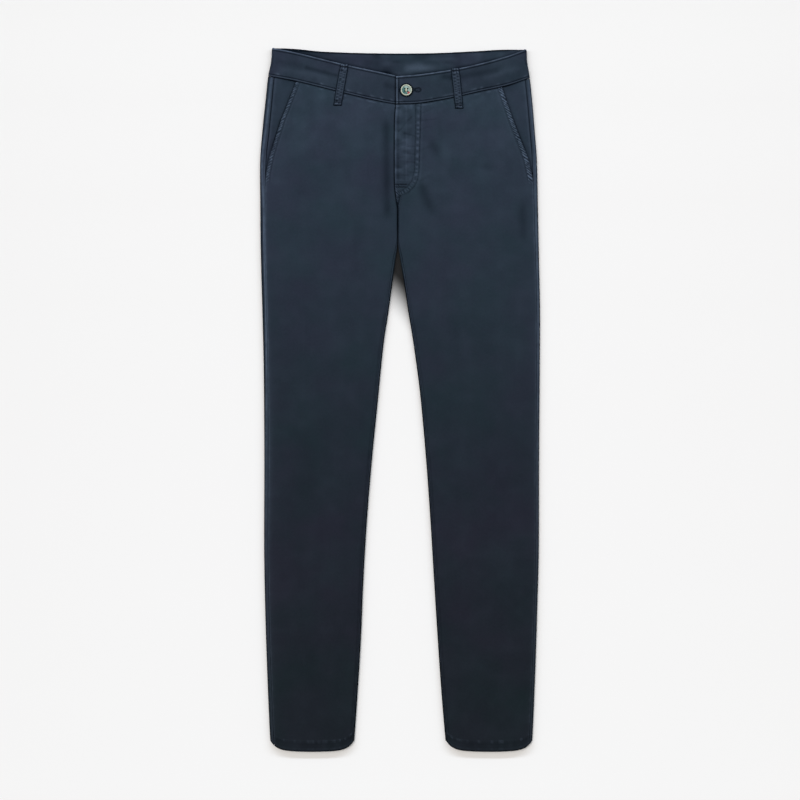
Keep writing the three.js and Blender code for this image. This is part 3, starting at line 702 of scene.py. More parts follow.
def inner_relief(found, drop, edge_in, on):
    """The inner edge of a leg: painted shade where the legs touch, and further down a dark rim of painted
    shade with a lighter ridge.
    """
    touching = smooth((drop - 226) / 12) * smooth((300 - drop) / 40)
    legs = smooth((drop - 300) / 60)
    ripple = wander(drop, 5.2, 53)
    found.add(
        worn=on * legs * (0.26 + 0.14 * ripple) * bell(edge_in - 3.0, 1.1),
        groove=on * (0.95 * touching + legs * smooth((2.1 - edge_in) / 1.2)),
    )


def back_panel(side):
    """A back, which lies under the front and wraps up round both edges."""
    out = OUT[side]
    low_top = lambda x: back_seam(x) + HALF_GAP
    high_top = lambda x: SEAM[side](x) + HALF_GAP
    edge_x = meet(side, EDGE[side], out * 200, high_top)
    inner_x = meet(side, lambda d: inner_edge(side, d, False), out * 20, low_top)
    outer_rings, inner_rings = [], []
    for drop, inner_d in zip(row_drop(side, edge_x, high_top), row_drop(side, inner_x, low_top)):
        height = section_height(drop)
        length = ARC_LENGTH + SEAM_IN[side](drop) - HALF_GAP - ARC_END_IN
        outer_rings.append(rolled_edge(height, length, 1, 18, 12))
        arc = crotch_arc(inner_d)
        turns, shoulders = (14, 3) if arc > ARC_LENGTH + 0.1 else (17, 0)
        inner_rings.append(rolled_edge(height, arc, crotch_roll(inner_d), turns, shoulders))
    outer_in, outer_up = (np.array([ring[k] for ring in outer_rings])[:, ::-1] for k in (0, 1))
    inner_in, inner_up = (np.array([ring[k] for ring in inner_rings]) for k in (0, 1))
    x_outer = edge_x[:, None] - out * outer_in
    x_inner = inner_x[:, None] + out * inner_in
    flat = lerp(x_outer[:, -1:], x_inner[:, :1], np.linspace(0, 1, 14)[1:-1])
    x = np.concatenate([x_outer, flat, x_inner], axis=1)
    up = np.concatenate([outer_up, np.zeros(flat.shape), inner_up], axis=1)
    drop = lerp(row_drop(side, x, low_top), row_drop(side, x, high_top), smooth((up - 1.5) / 3.5))
    on_outer = np.arange(x.shape[1])[None, :] < x_outer.shape[1]
    above = smooth((up - 0.4 * EDGE_RADIUS) / 1.2)
    found = Relief(x.shape)
    edge_relief(found, side, drop, from_outer(side, x, drop), above * on_outer)
    inner_relief(found, drop, from_inner(side, x, drop, False), above * ~on_outer)
    found.add(groove=0.9 * bell(drop - SEAM[side](x), 1.2) * above)
    grid = place(x, drop, up + back_lift(drop) + found.rise)
    order = slice(None, None, out)
    return cloth_wall(f"back_cloth_{side}", grid[:, order], CLOTH, 0.8, found.values(order))


def pocket_facing(side):
    """The side piece in a pocket's mouth, which runs in under the front."""
    out = OUT[side]
    t = np.linspace(0, 1, 90)[:, None]
    x = np.full((90, 1), out * 190.0)
    for _ in range(6):
        drop = lerp(SEAM[side](x) + HALF_GAP, FACING_END, t)
        x = EDGE[side](drop) - out * (SEAM_IN[side](drop) + 0.6)
    mouth = MOUTH[side](drop)
    near = np.linspace(0, 1, 26) * mouth
    inset = np.concatenate([near, mouth + np.linspace(0, FACING_UNDER, 8)[1:]], axis=1)
    xs = x - out * inset
    drops = lerp(SEAM[side](xs) + HALF_GAP, FACING_END, t)
    sunk = lerp(0.4, CLOTH + 0.4, smooth(inset / (mouth * 0.85)))
    found = Relief(xs.shape)
    ripple = wander(drops, 5, by_side(14, side))
    open_share = 0.35 + 0.65 * smooth(mouth / 8)
    # Painted shade in the mouth, along the front's edge and under the waistband
    found.add(
        worn=0.12 * bell(inset - 2.2, 1.2) + 0.02 + 0.05 * over(ripple) * bell(inset - 4, 3),
        groove=open_share * 0.22 * smooth(1 - (mouth - inset) / 9) + 0.9 * bell(drops - SEAM[side](xs), 1.2),
    )
    found.add(groove=open_share * (0.9 - 0.6 * smooth((drops - 140) / 25)) * bell(inset - mouth, 1.7))
    found.add(groove=0.22 * smooth(1 - (drops - SEAM[side](xs)) / 16) * smooth((inset - 6) / 10))
    found.add(rise=0.15 * drift(xs, drops, 12, 16), groove=0.08)
    grid = place(xs, drops, front_height(side, xs, drops) - sunk + found.rise)
    order = slice(None, None, -out)
    return cloth_wall(f"pocket_side_{side}", grid[:, order], FACING, 0.5, found.values(order), upright=True)


def band_height(side, x):
    """Height of the waistband's face, which steps up over the under-lap."""
    if side == "left":
        return lerp(LAP_TOP, BAND_TOP, smooth((x - 44) / 36))
    return lerp(BAND_TOP, UNDERLAP_TOP, smooth((x + 26) / 17))


def band_relief(side, part, x, drop, front_end):
    """The waistband's sewn edges, its soft folds and the marks round the button, with painted light and
    shade on the folds, inside the back and round the button.
    """
    front, back = part != "back", part == "back"
    top_in, seam_in = drop - TOP[side](x), SEAM[side](x) - drop
    end_in = np.where(part == "front", np.abs(x - front_end), 99)
    ripple = wander(x, 5.0, 61)
    fold = fold_rise(BAND_FOLDS, x, drop)
    found = Relief(x.shape)
    found.add(rise=front * (0.2 * drift(x, drop, 26, 62) + 0.16 * drift(x, drop, 9, 63) + fold))
    # Painted light and shade on the folds
    found.add(worn=front * 0.1 * over(fold), groove=front * 0.12 * over(-fold))
    found.add(rise=front * 0.2 * ripple * bell(seam_in - 4, 4))
    found.add(worn=front * 0.06 * over(drift(x, drop, 30, 64)))
    edge = front * (0.75 + 0.35 * wander(x, 4.2, 65))
    found.add(worn=0.8 * edge * bell(top_in - 0.8, 0.95), groove=0.8 * front * bell(top_in - 3.3, 0.85))
    found.add(rise=-0.3 * front * (bell(top_in - 3.4, 0.9) + bell(seam_in - 3.1, 0.8)))
    found.add(
        worn=front * (0.22 * bell(seam_in - 1.7, 0.8) + 0.3 * bell(seam_in - 5.2, 1.2) * over(ripple)),
        groove=front * 0.7 * (bell(seam_in - 3.4, 0.85) + bell(seam_in, 0.9)),
    )
    # Painted highlight on the top corner at the wearer's right side
    found.add(worn=front * 0.6 * bell(x + 189, 4.5) * bell(top_in - 0.6, 2.2))
    found.add(groove=front * 0.13 * smooth((x - 60) / 50))
    # The back's inner side: painted shade along its top edge, under the front's top edge and in two soft
    # patches where it curves, and darker towards the wearer's right side
    rim_in = drop - back_top(x)
    found.add(groove=back * 0.95 * smooth((3.2 - rim_in) / 1.5))
    found.add(groove=back * 0.35 * over(drift(x * 0.6, drop, 9, 67)))
    found.add(worn=back * 0.3 * bell(rim_in - 22, 5) * smooth((x - 2) / 10) * smooth((70 - x) / 40))
    found.add(groove=back * 0.5 * bell(top_in + 1.0, 2.6))
    found.add(groove=back * 0.45 * bell(np.hypot(x + 20, 1.6 * (drop - 36)), 13))
    found.add(groove=back * 0.3 * bell(np.hypot(x + 34, 1.4 * (drop - 20)), 16))
    found.add(groove=back * 0.3 * smooth((-30 - x) / 90))
    found.add(worn=back * 0.1 * over(drift(x * 0.4, drop, 7, 68)))
    if side == "left":
        away = np.hypot(x - DISC_X, drop - DISC_DROP)
        hole = np.hypot((x - HOLE_X) / 4.0, (drop - HOLE_DROP) / 3.1)
        end_row = 0.8 * bell(end_in - 4.1, 0.9) * (top_in > 3)
        found.add(worn=0.45 * bell(end_in - 1.4, 1.2), rise=-0.35 * bell(end_in - 3.9, 0.9))
        # Painted shadow round the button, and a dark sewn row near the lap's end
        found.add(groove=front * (end_row + 1.1 * smooth((11.1 - away) / 1.2)))
        slit = bell(drop - HOLE_DROP, 1.3) * smooth((HOLE_X - 2 - x) / 2) * (x > BUTTON_X)
        found.add(rise=-0.5 * front * bell(hole, 0.7))
        found.add(groove=front * (0.75 * bell(hole - 1, 0.3) + 0.8 * slit))
    else:
        found.add(groove=np.where(part == "underlap", 0.8, 0) + bell(end_in, 1.8))
    return found


def waistband(side):
    """Half of the waistband: its front, the turn at the side and the back's inner side."""
    out = OUT[side]
    radius = (BAND_TOP - BACK_LIFT) / 2
    front_end = float(fly_edge(BAND_DROP))
    side_top = float(TOP[side](EDGE[side](0)))
    side_seam = float(SEAM[side](EDGE[side](BAND_DROP))) - HALF_GAP
    top_end = float(EDGE[side](side_top)) - out * radius
    seam_end = float(EDGE[side](BAND_DROP)) - out * radius
    w = np.concatenate([[0, 0.01, 0.024, 0.04, 0.058, 0.078, 0.1], np.linspace(0.125, 0.86, 32)])
    w = np.concatenate([w, [0.88, 0.898, 0.914, 0.93, 0.945, 0.96, 0.975, 0.988, 1]])
    stations, parts = [], []

    def across(x_top, x_seam):
        drop = lerp(TOP[side](x_top), SEAM[side](x_seam) - HALF_GAP, w)
        x = lerp(x_top, x_seam, w)
        return place(x, drop, band_height(side, x))

    if side == "right":
        for x in np.linspace(UNDERLAP_X, -4, 18):
            stations.append(across(x, x))
            parts.append("underlap")
    near = np.array([0, 0.002, 0.005, 0.009, 0.014, 0.02, 0.027, 0.035])
    for share in np.concatenate([near, np.linspace(0.043, 1, 150)]):
        lean = out * BAND_LEAN * math.sin(math.pi * share)
        stations.append(across(lerp(front_end, top_end, share), lerp(front_end, seam_end, share) + lean))
        parts.append("front")
    for angle in np.linspace(80, -80, 15):
        turn = math.radians(angle)
        drop = lerp(side_top, side_seam, w)
        x = EDGE[side](drop) - out * radius * (1 - math.cos(turn))
        stations.append(place(x, drop, np.full(len(w), BACK_LIFT + radius * (1 + math.sin(turn)))))
        parts.append("side")
    for share in np.concatenate([np.linspace(1, 0.004, 95), [0.0004, 0]]):
        x_top, x_seam = (lerp(BACK_SEAM_X, end, share) for end in (top_end, seam_end))
        top = lerp(back_top(x_top), side_top, smooth((share - 0.6) / 0.4))
        drop = lerp(top, back_seam(x_seam) - HALF_GAP, w)
        stations.append(place(lerp(x_top, x_seam, w), drop, np.full(len(w), BACK_LIFT)))
        parts.append("back")
    grid = np.stack(stations, axis=1)
    part = np.array(parts)[None, :]
    x, drop = grid[..., 0], LENGTH / 2 - grid[..., 1]
    found = band_relief(side, part, x, drop, front_end)
    grid = grid + place(0 * x, LENGTH / 2, found.rise)
    order = slice(None, None, out)
    last = "start" if side == "right" else "stop"
    return cloth_wall(f"waistband_cloth_{side}", grid[:, order], BAND, 1.2, found.values(order), square=last)


FRONT_LOOPS = {"right": (-83.3, 25.0, -93.8, 86.5), "left": (82.5, 30.8, 88.8, 91.0)}


def loop_height(side, x, drop):
    """Height of a front loop's face, from the waistband down to the front."""
    end_x, end_drop = FRONT_LOOPS[side][2:]
    past = smooth((drop - SEAM[side](x) - 3) / 14)
    return lerp(BAND_TOP, front_height(side, end_x, end_drop) + 0.1, past) + 0.3 + LOOP_THICK


def loop_arch(t):
    """How far a loop stands off between its ends."""
    return 0.7 * np.sin(math.pi * clamp(t, 0, 1)) ** 0.8


def front_loop(side):
    """A belt loop with twisted puckers and a bar of thread near each end, painted with shade down its sides
    and round its lower end.
    """
    x0, drop0, x1, drop1 = FRONT_LOOPS[side]
    t = np.concatenate([[0, 0.008, 0.02, 0.035], np.linspace(0.05, 0.95, 74), [0.965, 0.98, 0.992, 1]])
    t = t[:, None]
    v = np.array([-0.5, -0.48, -0.455, -0.425, -0.39, -0.35, -0.3, -0.25, -0.19, -0.12, -0.04])
    v = np.concatenate([v, -v[::-1]])
    mid_x, drop = lerp(x0, x1, t), lerp(drop0, drop1, t) + 0 * v
    tacked = bell(t - 0.07, 0.05) + bell(t - 0.92, 0.05)
    width = LOOP_WIDTH * (1 - 0.05 * tacked + 0.02 * wander(t * 60, 9, 71))
    x = mid_x + v * width
    along = t * (drop1 - drop0)
    left = drop1 - drop0 - along
    phase = along / 4.6 + 0.5 * wander(along, 8, by_side(72, side))
    inner = smooth((0.37 - np.abs(v)) / 0.08)
    pattern = np.cos(2 * math.pi * phase) * np.sin(math.pi * clamp(v / 0.36, -1, 1)) * inner
    found = Relief(x.shape)
    found.add(
        rise=0.25 * pattern - 0.3 * bell(np.abs(v) - 0.2, 0.06),
        worn=0.03 + 0.28 * over(pattern) + 0.06 * inner * drift(x, drop, 3, 74),
        groove=0.22 * over(-pattern) + 0.95 * smooth((np.abs(v) - 0.385) / 0.05),
    )
    flecks = smooth((np.cos(2 * math.pi * (v * width / 4.2 + 0.15)) - 0.1) / 0.6) * inner
    found.add(worn=flecks * (0.8 * bell(along - 1.4, 1.1) + 0.6 * bell(along - 6.4, 1.3)))
    found.add(groove=0.6 * bell(along - 3.9, 1.0) + 0.4 * bell(along - 9.2, 1.0))
    found.add(groove=0.95 * bell(left, 1.5) + 0.5 * bell(left - 7.2, 1.1))
    found.add(rise=-0.3 * bell(along - 3.8, 1.2) - 0.4 * bell(left - 7.2, 1.3))
    found.add(worn=0.35 * bell(left - 3.4, 1.3) * inner * (0.4 + flecks))
    grid = place(x, drop, loop_height(side, mid_x, drop) + found.rise + loop_arch(t))
    return cloth_wall(f"belt_loop_cloth_front_{side}", grid, LOOP_THICK, 0.6, found.values())


BACK_LOOPS = {"right": (-112, 7.5, -5), "centre": (BACK_SEAM_X, 10, 0), "left": (106, 7.5, 5)}


def back_loop(place_name):
    x0, drop0, lean = BACK_LOOPS[place_name]
    t = np.linspace(0, 1, 24)[:, None]
    v = np.array([-0.5, -0.46, -0.4, -0.25, -0.1, 0.1, 0.25, 0.4, 0.46, 0.5])
    x = x0 + lean * (0.5 - t) + v * LOOP_WIDTH
    drop = drop0 + BACK_LOOP_LENGTH * t + 0 * v
    grid = place(x, drop, np.full(x.shape, LOOP_THICK))
    still = {"worn": np.full(x.shape, 0.05), "groove": np.zeros(x.shape)}
    return cloth_wall(f"belt_loop_cloth_back_{place_name}", grid, LOOP_THICK, 0.4, still)


# Threads


def path_finder(path):
    """The length of a path of (x, drop) points, and a function for the place at a length along it."""
    path = np.array(path, float)
    step = np.linalg.norm(np.diff(path, axis=0), axis=1)
    walked = np.insert(np.cumsum(step), 0, 0)
    return walked[-1], lambda s: [np.interp(s, walked, path[:, k]) for k in (0, 1)]


def threads(name, runs, radius=0.24, sides=5):
    """Short sewn threads along runs of points, each a small bar that dips at both ends."""
    points, faces = [], []
    profile = [(0.0, 0.35), (0.18, 0.9), (0.5, 1.0), (0.82, 0.9), (1.0, 0.35)]
    for start, stop in runs:
        along = stop - start
        length = np.linalg.norm(along)
        side = np.cross(along / length, UP)
        base = len(points)
        for t, size in profile:
            centre = lerp(start, stop, t) + UP * (radius * 0.5 - 0.42 * (2 * t - 1) ** 4)
            for k in range(sides):
                turn = 2 * math.pi * k / sides
                points.append(centre + radius * size * (math.cos(turn) * side + math.sin(turn) * UP))
        for i in range(len(profile) - 1):
            for k in range(sides):
                a, b = base + i * sides + k, base + i * sides + (k + 1) % sides
                faces.append((a, b, b + sides, a + sides))
        last = base + (len(profile) - 1) * sides
        faces.append(tuple(base + k for k in reversed(range(sides))))
        faces.append(tuple(last + k for k in range(sides)))
    return mesh_object(name, points, faces)


def sew(path, surface, pitch=3.2, fill=0.74):
    """Stitches along a path of (x, drop) points that lie on a surface."""
    length, found = path_finder(path)
    count = max(int(length / pitch), 1)
    runs = []
    for i in range(count):
        ends = []
        for share in (i + 0.5 - fill / 2, i + 0.5 + fill / 2):
            x, drop = found(share * length / count)
            ends.append(place(x, drop, float(surface(x, drop))))
        runs.append(ends)
    return runs


def zigzag(start, stop, width, surface, pitch=0.75):
    """A dense bar of thread across a line from start to stop."""
    start, stop = np.array(start, float), np.array(stop, float)
    along = stop - start
    length = np.linalg.norm(along)
    normal = np.array([-along[1], along[0]]) / length * width / 2
    runs = []
    for i in range(int(length / pitch)):
        middle = start + along * (i + 0.5) * pitch / length
        runs.append([place(*p, float(surface(*p)) + 0.1) for p in (middle - normal, middle + normal)])
    return runs


def on_front(side):
    """Height of the dressed front at a place."""

    def surface(x, drop):
        at = np.array([x]), np.array([drop])
        return (front_height(side, *at) + sewn_relief(side, *at).rise)[0]

    return surface


def sewing():
    """The stitches of the fronts and of the waistband with its loops."""
    surfaces = {side: on_front(side) for side in OUT}
    left = surfaces["left"]
    runs = sew(FLY_OUTER, left) + sew(FLY_INNER, left) + sew(RISE_ROW, left)
    runs += sew([(x + 3.0, d + 1) for x, d in RISE_ROW], left)
    for tack in FLY_TACKS:
        runs += zigzag(tack[0], tack[1], 1.6, left)
    for side in OUT:
        drops = np.arange(55 if side == "right" else 62, 190, 4)
        for inset in WELT_ROWS:
            xs = EDGE[side](drops) - OUT[side] * (SEAM_IN[side](drops) + MOUTH[side](drops) + inset)
            runs += sew(np.stack([xs, drops], -1), surfaces[side])
        middle, half = HEM_MIDDLE[side]
        xs = np.arange(middle - half + 4, middle + half - 4, 3)
        runs += sew(np.stack([xs, hem(side, xs) - HEM_TURN], -1), surfaces[side], pitch=3.6)
    band_runs = []
    for side in OUT:
        height = lambda x, d: band_height(side, x)
        out = OUT[side]
        for row, end, down in ((SEAM, BAND_DROP, -3.9), (TOP, 5, 3.4)):
            xs = np.arange(fly_edge(BAND_DROP) + out * 4, EDGE[side](end) - out * 5, out * 4)
            band_runs += sew(np.stack([xs, row[side](xs) + down], -1), height)
        x0, drop0, x1, drop1 = FRONT_LOOPS[side]
        on_loop = lambda x, d: loop_height(side, x, d) + loop_arch((d - drop0) / (drop1 - drop0))
        for shift in (-2.6, 2.6):
            band_runs += sew([(x0 + shift, drop0 + 4), (x1 + shift, drop1 - 5)], on_loop, pitch=3.0)
        slant = (x1 - x0) / (drop1 - drop0)
        for down in (drop0 + 3.2, drop1 - 4.6):
            middle = x0 + slant * (down - drop0)
            band_runs += zigzag((middle - 5.0, down), (middle + 5.0, down), 1.9, on_loop, 0.6)
    x = float(fly_edge(60)) + 3.8
    band_runs += sew([(x, 47), (x, 79)], lambda a, b: band_height("left", a))
    return threads("stitches_fronts", runs), threads("stitches_waistband", band_runs)


def buttonhole():
    """Close stitches round the buttonhole's outer end, which shows beside the button."""
    middle = BUTTON_DROP - 0.3
    half = [(19, 1.6), (25.5, 1.7), (28.2, 2.6), (30.6, 1.6)]
    path = [(x, middle - y) for x, y in half] + [(31.2, middle)] + [(x, middle + y) for x, y in half[::-1]]
    length, found = path_finder(path)
    runs = []
    for s in np.arange(0.3, length, 0.62):
        at = np.array(found(s))
        away = at - np.array([min(at[0], HOLE_X), middle])
        away = away / max(np.linalg.norm(away), 1e-6)
        runs.append([place(*(at + away * reach), LAP_TOP + 0.1) for reach in (-0.5, 1.1)])
    return threads("stitches_buttonhole", runs, radius=0.3)


def button_stitches():
    """The threads that hold the button: bars between its left and its right pair of holes."""
    z = LAP_TOP + HALF_GAP * 2 + 2.25
    runs = []
    for x in (DISC_X - 0.9, DISC_X - 0.3, DISC_X + 0.3):
        runs.append([place(x, DISC_DROP + reach, z) for reach in (-2.4, 2.5)])
    return threads("stitches_button", runs, radius=0.34, sides=8)


def button_disc():
    """The button: a rounded rim round a dished face with four thread holes."""
    face = [(r, 1.95 + 0.004 * r**2) for r in np.arange(0.1, 6.3, 0.24)]
    rim = [(6.4, 1.25), (6.7, 1.9), (7.0, 2.5), (7.3, 2.85), (7.6, 2.95), (7.9, 2.8), (8.2, 2.4), (8.3, 1.7)]
    under = [(8.2, 0.9), (7.9, 0.35), (7.2, 0.05), (4.0, 0.0), (0.1, 0.0)]
    rings = face + rim + under
    count = 128
    turn = np.linspace(0, 2 * math.pi, count, endpoint=False)
    points, shade, faces = [], [], []
    for i, (radius, height) in enumerate(rings):
        x, y = radius * np.cos(turn), radius * np.sin(turn)
        # The face's thread holes are sunk and painted dark as shade
        hole = np.zeros(count)
        if i < len(face):
            hole_away = np.min([np.hypot(x - hx, y - hy) for hx, hy in BUTTON_HOLES], axis=0)
            hole = smooth((BUTTON_HOLE_RADIUS + 0.25 - hole_away) / 0.35)
        points.append(np.stack([x, y, height - 1.4 * hole], -1))
        shade.append(hole)
    for i in range(len(rings) - 1):
        for k in range(count):
            a, b = i * count + k, i * count + (k + 1) % count
            faces.append((a, a + count, b + count, b))
    faces.append(tuple(range(count)))
    faces.append(tuple(reversed(range((len(rings) - 1) * count, len(rings) * count))))
    points = np.concatenate(points) + place(DISC_X, DISC_DROP, LAP_TOP + HALF_GAP * 2)
    return mesh_object("button_disc", points, faces, {"groove": np.concatenate(shade)})


def camera():
    data = bpy.data.cameras.new("camera")
    data.lens, data.sensor_width = LENS, LENS_FRAME
    data.clip_end = 50
    obj = add_object("camera", data)
    obj.location = (0, 0, CAMERA_HEIGHT)
    bpy.context.scene.camera = obj


# Materials


class Shader:
    """A node material, built one node at a time."""

    def __init__(self, name):
        self.material = bpy.data.materials.new(name)
        self.material.use_nodes = True
        self.tree = self.material.node_tree
        self.tree.nodes.clear()
        self.output = self.tree.nodes.new("ShaderNodeOutputMaterial")

    def add(self, kind, inputs=None, **settings):
        node = self.tree.nodes.new("ShaderNode" + kind)
        for key, value in settings.items():
            setattr(node, key, value)
        for key, value in (inputs or {}).items():
            if isinstance(value, bpy.types.NodeSocket):
                self.tree.links.new(value, node.inputs[key])
            else:
                node.inputs[key].default_value = value
        return node

    def math(self, operation, a, b=0.0):
        return self.add("Math", {0: a, 1: b}, operation=operation).outputs[0]

    def times(self, *values):
        """A product."""
        found = values[0]
        for value in values[1:]:
            found = self.math("MULTIPLY", found, value)
        return found

    def total(self, *values):
        """A sum, in which a pair is a value with its weight."""
        values = [self.times(*v) if isinstance(v, tuple) else v for v in values]
        found = values[0]
        for value in values[1:]:
            found = self.math("ADD", found, value)
        return found

    def share(self, value, start, stop, low=0.0, high=1.0, **settings):
        """How far a value has gone from start to stop, as a number between low and high."""
        inputs = {"Value": value, "From Min": start, "From Max": stop, "To Min": low, "To Max": high}
        return self.add("MapRange", inputs, **settings).outputs[0]

    def where(self):
        return self.add("TexCoord").outputs["Object"]

    def axes(self, vector):
        return self.add("SeparateXYZ", {"Vector": vector}).outputs

    def moved(self, vector, **inputs):
        return self.add("Mapping", {"Vector": vector, **inputs}).outputs[0]

    def attribute(self, name):
        return self.add("Attribute", attribute_name=name).outputs["Fac"]

    def bump(self, height, strength, distance):
        inputs = {"Strength": strength, "Distance": distance, "Height": height}
        return self.add("Bump", inputs).outputs[0]

    def ramp(self, value, rows):
        """Colours along a value, from rows of a position and its colour, the two ends first."""
        node = self.add("ValToRGB", {"Fac": value})
        stops = node.color_ramp.elements
        for stop, (at, *colour) in zip(stops, rows):
            stop.position, stop.color = at, rgb(*colour)
        for at, *colour in rows[2:]:
            stops.new(at).color = rgb(*colour)
        return node.outputs[0]

    def mix(self, factor, a, b, **settings):
        """A mix of two colours, which are the seventh and eighth sockets of the node."""
        return self.add("Mix", {"Factor": factor, 6: a, 7: b}, data_type="RGBA", **settings).outputs[2]

    def multiply(self, colour, by):
        return self.mix(1.0, colour, by, blend_type="MULTIPLY")

    def noise(self, vector, scale, detail):
        inputs = {"Vector": vector, "Scale": scale, "Detail": detail, "Roughness": 0.55}
        return self.add("TexNoise", inputs).outputs["Fac"]

    def finish(self, body, rough, specular, **inputs):
        inputs = {"Base Color": body, "Roughness": rough, "Specular IOR Level": specular, **inputs}
        surface = self.add("BsdfPrincipled", inputs).outputs[0]
        self.tree.links.new(surface, self.output.inputs["Surface"])
        return self.material


def rgb(r, g, b):
    return (r, g, b, 1)


def twill(name, base, lighter, darker):
    """Brushed cotton twill: mottled dye, a fine diagonal weave, lighter ridges of wear and painted
    highlight, dark sewn grooves with painted shade, and a colour painted less blue down the legs for the
    light.
    """
    s = Shader(name)
    where = s.where()
    along = s.axes(where)["Y"]
    uneven = s.share(along, 0.38, 0.26, 1.0, 0.52)
    streaks = s.noise(s.moved(where, Scale=(70, 9, 20)), 1, 2)
    heather = s.noise(where, 900, 1)
    slub = s.noise(where, 260, 2)
    tone = s.total((s.noise(where, 24, 4), 0.34), (streaks, 0.24))
    tone = s.total((s.math("SUBTRACT", tone, 0.29), uneven), 0.29)
    tone = s.total(tone, (heather, 0.3), s.math("SUBTRACT", s.times(slub, 0.34), 0.11))
    body = s.mix(tone, rgb(*(0.66 * c for c in base)), rgb(*(1.34 * c for c in base)))
    hue = s.share(s.noise(s.moved(where, Location=(3.1, 1.7, 0.4)), 13, 3), 0.34, 0.66)
    body = s.mix(hue, s.multiply(body, rgb(0.89, 1.03, 0.97)), s.multiply(body, rgb(1.07, 0.98, 1.04)))
    # Painted light: the cloth is painted less blue and a little darker towards the hems, as the bluer light
    # near the waist falls off
    body = s.mix(s.share(along, 0.1, -0.45), body, s.multiply(body, rgb(0.97, 0.99, 0.91)))
    shin = s.times(s.share(along, -0.06, -0.18), s.share(along, -0.44, -0.34))
    body = s.mix(shin, body, s.multiply(body, rgb(1.13, 0.99, 1.06)))
    # Lighter where the cloth is rubbed and where highlights are painted; darker along the seams and where
    # shade is painted
    worn = s.attribute("worn")
    fine = s.noise(where, 420, 2)
    body = s.mix(s.times(worn, s.total(0.55, (fine, 0.9))), body, rgb(*lighter))
    body = s.mix(s.times(s.attribute("groove"), 0.9), body, rgb(*darker))
    turned = s.moved(where, Rotation=(0, 0, math.radians(62)))
    rib = s.add("TexWave", {"Vector": turned, "Scale": 300, "Distortion": 0.6, "Detail": 1.0}).outputs["Fac"]
    crumple = s.times(s.noise(where, 85, 3), s.total((uneven, 0.8), 0.2))
    height = s.total((rib, 0.10), (crumple, 0.495), (fine, 0.12), (worn, slub, 0.9))
    return s.finish(body, s.total(0.8, (heather, 0.15)), 0.0, Normal=s.bump(height, 0.55, 0.0007))


def thread_material(name, colour):
    s = Shader(name)
    where = s.where()
    shade = s.mix(s.noise(where, 700, 2), rgb(*(0.6 * c for c in colour)), rgb(*(1.4 * c for c in colour)))
    ply = s.add("TexWave", {"Vector": where, "Scale": 500, "Distortion": 1.5}).outputs["Fac"]
    return s.finish(shade, 0.7, 0.05, Normal=s.bump(ply, 0.4, 0.0001))


def button_material():
    """Horn-like button: a cream rim, and a face that runs from teal to mint with one red fleck."""
    s = Shader("button_face")
    centre = -0.001 * place(DISC_X, DISC_DROP, 0)
    moved = s.moved(s.where(), Location=centre)
    axes = s.axes(moved)
    x, y = (s.times(axes[k], 1000) for k in "XY")
    wisps = s.noise(moved, 420, 3)
    slanted = s.total(x, (y, 0.5), (wisps, 3))
    face = s.ramp(s.share(slanted, -5.5, 6.5), BUTTON_STOPS)
    fleck_x, fleck_y = s.math("SUBTRACT", x, 3.7), s.math("SUBTRACT", y, -4.4)
    fleck = s.share(s.total((fleck_x, fleck_x), (fleck_y, fleck_y)), 6.4, 3.4)
    face = s.mix(fleck, face, rgb(0.13, 0.012, 0.009))
    rim = s.share(s.math("SQRT", s.total((x, x), (y, y))), 6.2, 6.8)
    body = s.mix(rim, face, s.mix(wisps, rgb(0.19, 0.19, 0.14), rgb(0.28, 0.28, 0.21)))
    # Painted shade in the thread holes
    body = s.mix(s.attribute("groove"), body, rgb(0.0015, 0.002, 0.0025))
    return s.finish(body, 0.4, 0.1)


def floor_material():
    """A plain pale sweep, graded so that it looks even, with a soft painted shadow between the legs."""
    s = Shader("paper")
    axes = s.axes(s.where())
    plain = s.ramp(s.share(axes["Y"], -0.62, 0.62), FLOOR_STOPS)
    # Painted shadow in the gap below the crotch, fading towards the hems and reaching lower on the wearer's
    # left
    slant = s.times(s.total(axes["X"], 0.002), 1.1)
    down = s.share(s.total(axes["Y"], slant), 0.112, 0.188, interpolation_type="SMOOTHSTEP")
    aside = s.math("ABSOLUTE", s.math("SUBTRACT", axes["X"], -0.002))
    near = s.times(s.share(aside, 0.05, 0.02), s.share(axes["Y"], 0.33, 0.30))
    return s.finish(s.mix(s.times(down, near), plain, rgb(0.0125, 0.0118, 0.0110)), 0.95, 0.0)


# Colours along the button's face and along the floor, as a position with red, green and blue
BUTTON_STOPS = [
    (0.1, 0.008, 0.038, 0.031), (0.97, 0.085, 0.112, 0.088), (0.33, 0.018, 0.056, 0.045),
    (0.46, 0.015, 0.048, 0.039), (0.57, 0.1, 0.14, 0.115), (0.8, 0.12, 0.158, 0.128),
]
FLOOR_STOPS = [
    (0.03, 0.865, 0.865, 0.846), (0.98, 0.328, 0.301, 0.268), (0.137, 0.815, 0.808, 0.782),
    (0.258, 0.749, 0.734, 0.702), (0.379, 0.672, 0.650, 0.613), (0.5, 0.589, 0.562, 0.522),
    (0.621, 0.505, 0.476, 0.436), (0.742, 0.430, 0.400, 0.362), (0.863, 0.370, 0.341, 0.306),
]


def sun_light(name, height, bearing, angle, strength, colour):
    data = bpy.data.lights.new(name, "SUN")
    data.energy, data.color, data.angle = strength, colour, math.radians(angle)
    add_object(name, data).rotation_euler = (math.radians(90 - height), 0, math.radians(bearing))


def area_light(name, spot, aim, size, power, colour):
    data = bpy.data.lights.new(name, "AREA")
    data.shape = "RECTANGLE"
    data.size, data.size_y = size
    data.energy, data.color = power, colour
    obj = add_object(name, data)
    obj.location = spot
    x, y, z = np.array(aim, float) - np.array(spot, float)
    obj.rotation_euler = (-math.atan2(math.hypot(x, y), -z), 0, math.atan2(x, -y))


camera()

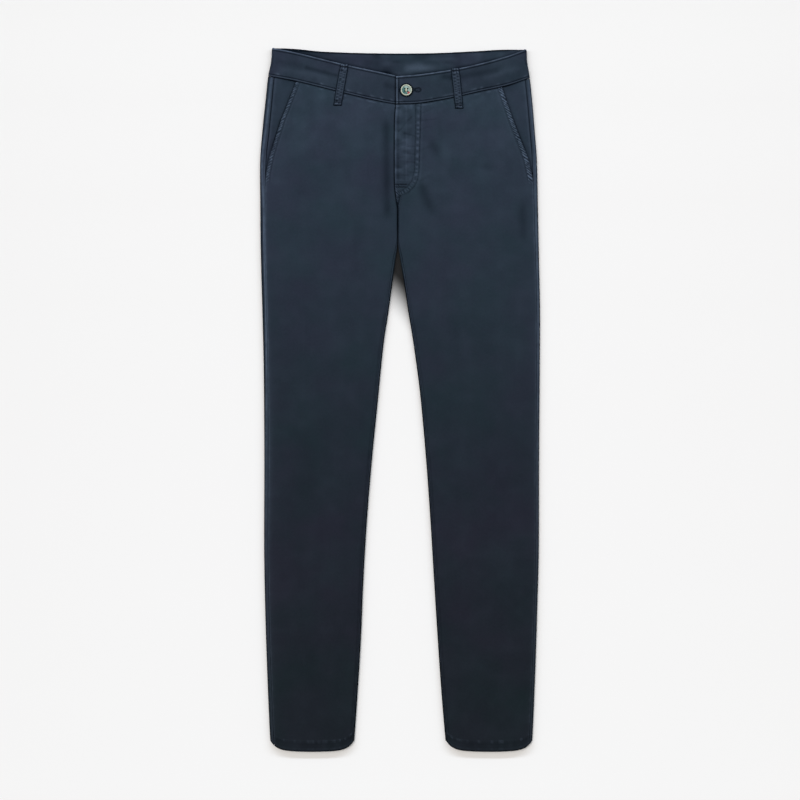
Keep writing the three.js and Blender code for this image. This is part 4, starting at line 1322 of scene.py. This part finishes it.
# Colour of the dark seams and of the painted shade
SEAM_AND_SHADE_COLOUR = (0.0008, 0.0016, 0.0026)
cloth = twill("twill_legs", (0.0110, 0.0146, 0.0198), (0.040, 0.052, 0.069), SEAM_AND_SHADE_COLOUR)
band_cloth = twill("twill_waist", (0.0100, 0.0126, 0.0174), (0.044, 0.055, 0.071), SEAM_AND_SHADE_COLOUR)
thread = thread_material("thread_blue", (0.0036, 0.0052, 0.0078))

fronts = {side: front_panel(side) for side in OUT}
backs = {side: back_panel(side) for side in OUT}
sides = {side: pocket_facing(side) for side in OUT}
bands = {side: waistband(side) for side in OUT}
loops = {side: front_loop(side) for side in OUT}
back_loops = {name: back_loop(name) for name in BACK_LOOPS}
stitches = [*sewing(), buttonhole()]
button_thread = button_stitches()
disc = button_disc()


def dress(obj, material, slot, *nodes):
    obj.data.materials.append(material)
    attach(obj, "root")
    if nodes:
        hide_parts(*nodes)


for side in OUT:
    dress(fronts[side], cloth, "cloth", f"front_{side}")
    dress(backs[side], cloth, "cloth", f"back_{side}")
    dress(sides[side], cloth, "cloth", f"pocket_facing_{side}")
    dress(bands[side], band_cloth, "band", f"waistband_{side}")
    dress(loops[side], band_cloth, "band", f"belt_loop_front_{side}")
for name, obj in back_loops.items():
    dress(obj, band_cloth, "band", f"belt_loop_back_{name}")
for obj in stitches:
    dress(obj, thread, "cloth")
dress(button_thread, thread_material("thread_cream", (0.27, 0.25, 0.16)), "button")
dress(disc, button_material(), "button", "button")
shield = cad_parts["fly_shield"]
shield.data.materials.clear()
shield.data.materials.append(cloth)

for obj in back_loops.values():
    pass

bpy.ops.mesh.primitive_plane_add(size=FLOOR_SIZE, location=(0, 0, FLOOR_Z))
floor = bpy.context.object
floor.name = "floor"
floor.data.materials.append(floor_material())

area_light("key", (0.0, 0.80, 0.85), (0.0, 0.95, 0), (3.4, 0.4), 49.5, (0.875, 1.0, 1.18))
sun_light("sun", 72, -125, 30, 1.5, (1.05, 0.985, 0.95))

world = bpy.data.worlds.new("studio")
world.use_nodes = True
background = world.node_tree.nodes["Background"].inputs
background[0].default_value = rgb(1, 1, 1)
background[1].default_value = SURROUND_LIGHT
scene = bpy.context.scene
scene.world = world
scene.view_settings.view_transform = "Standard"
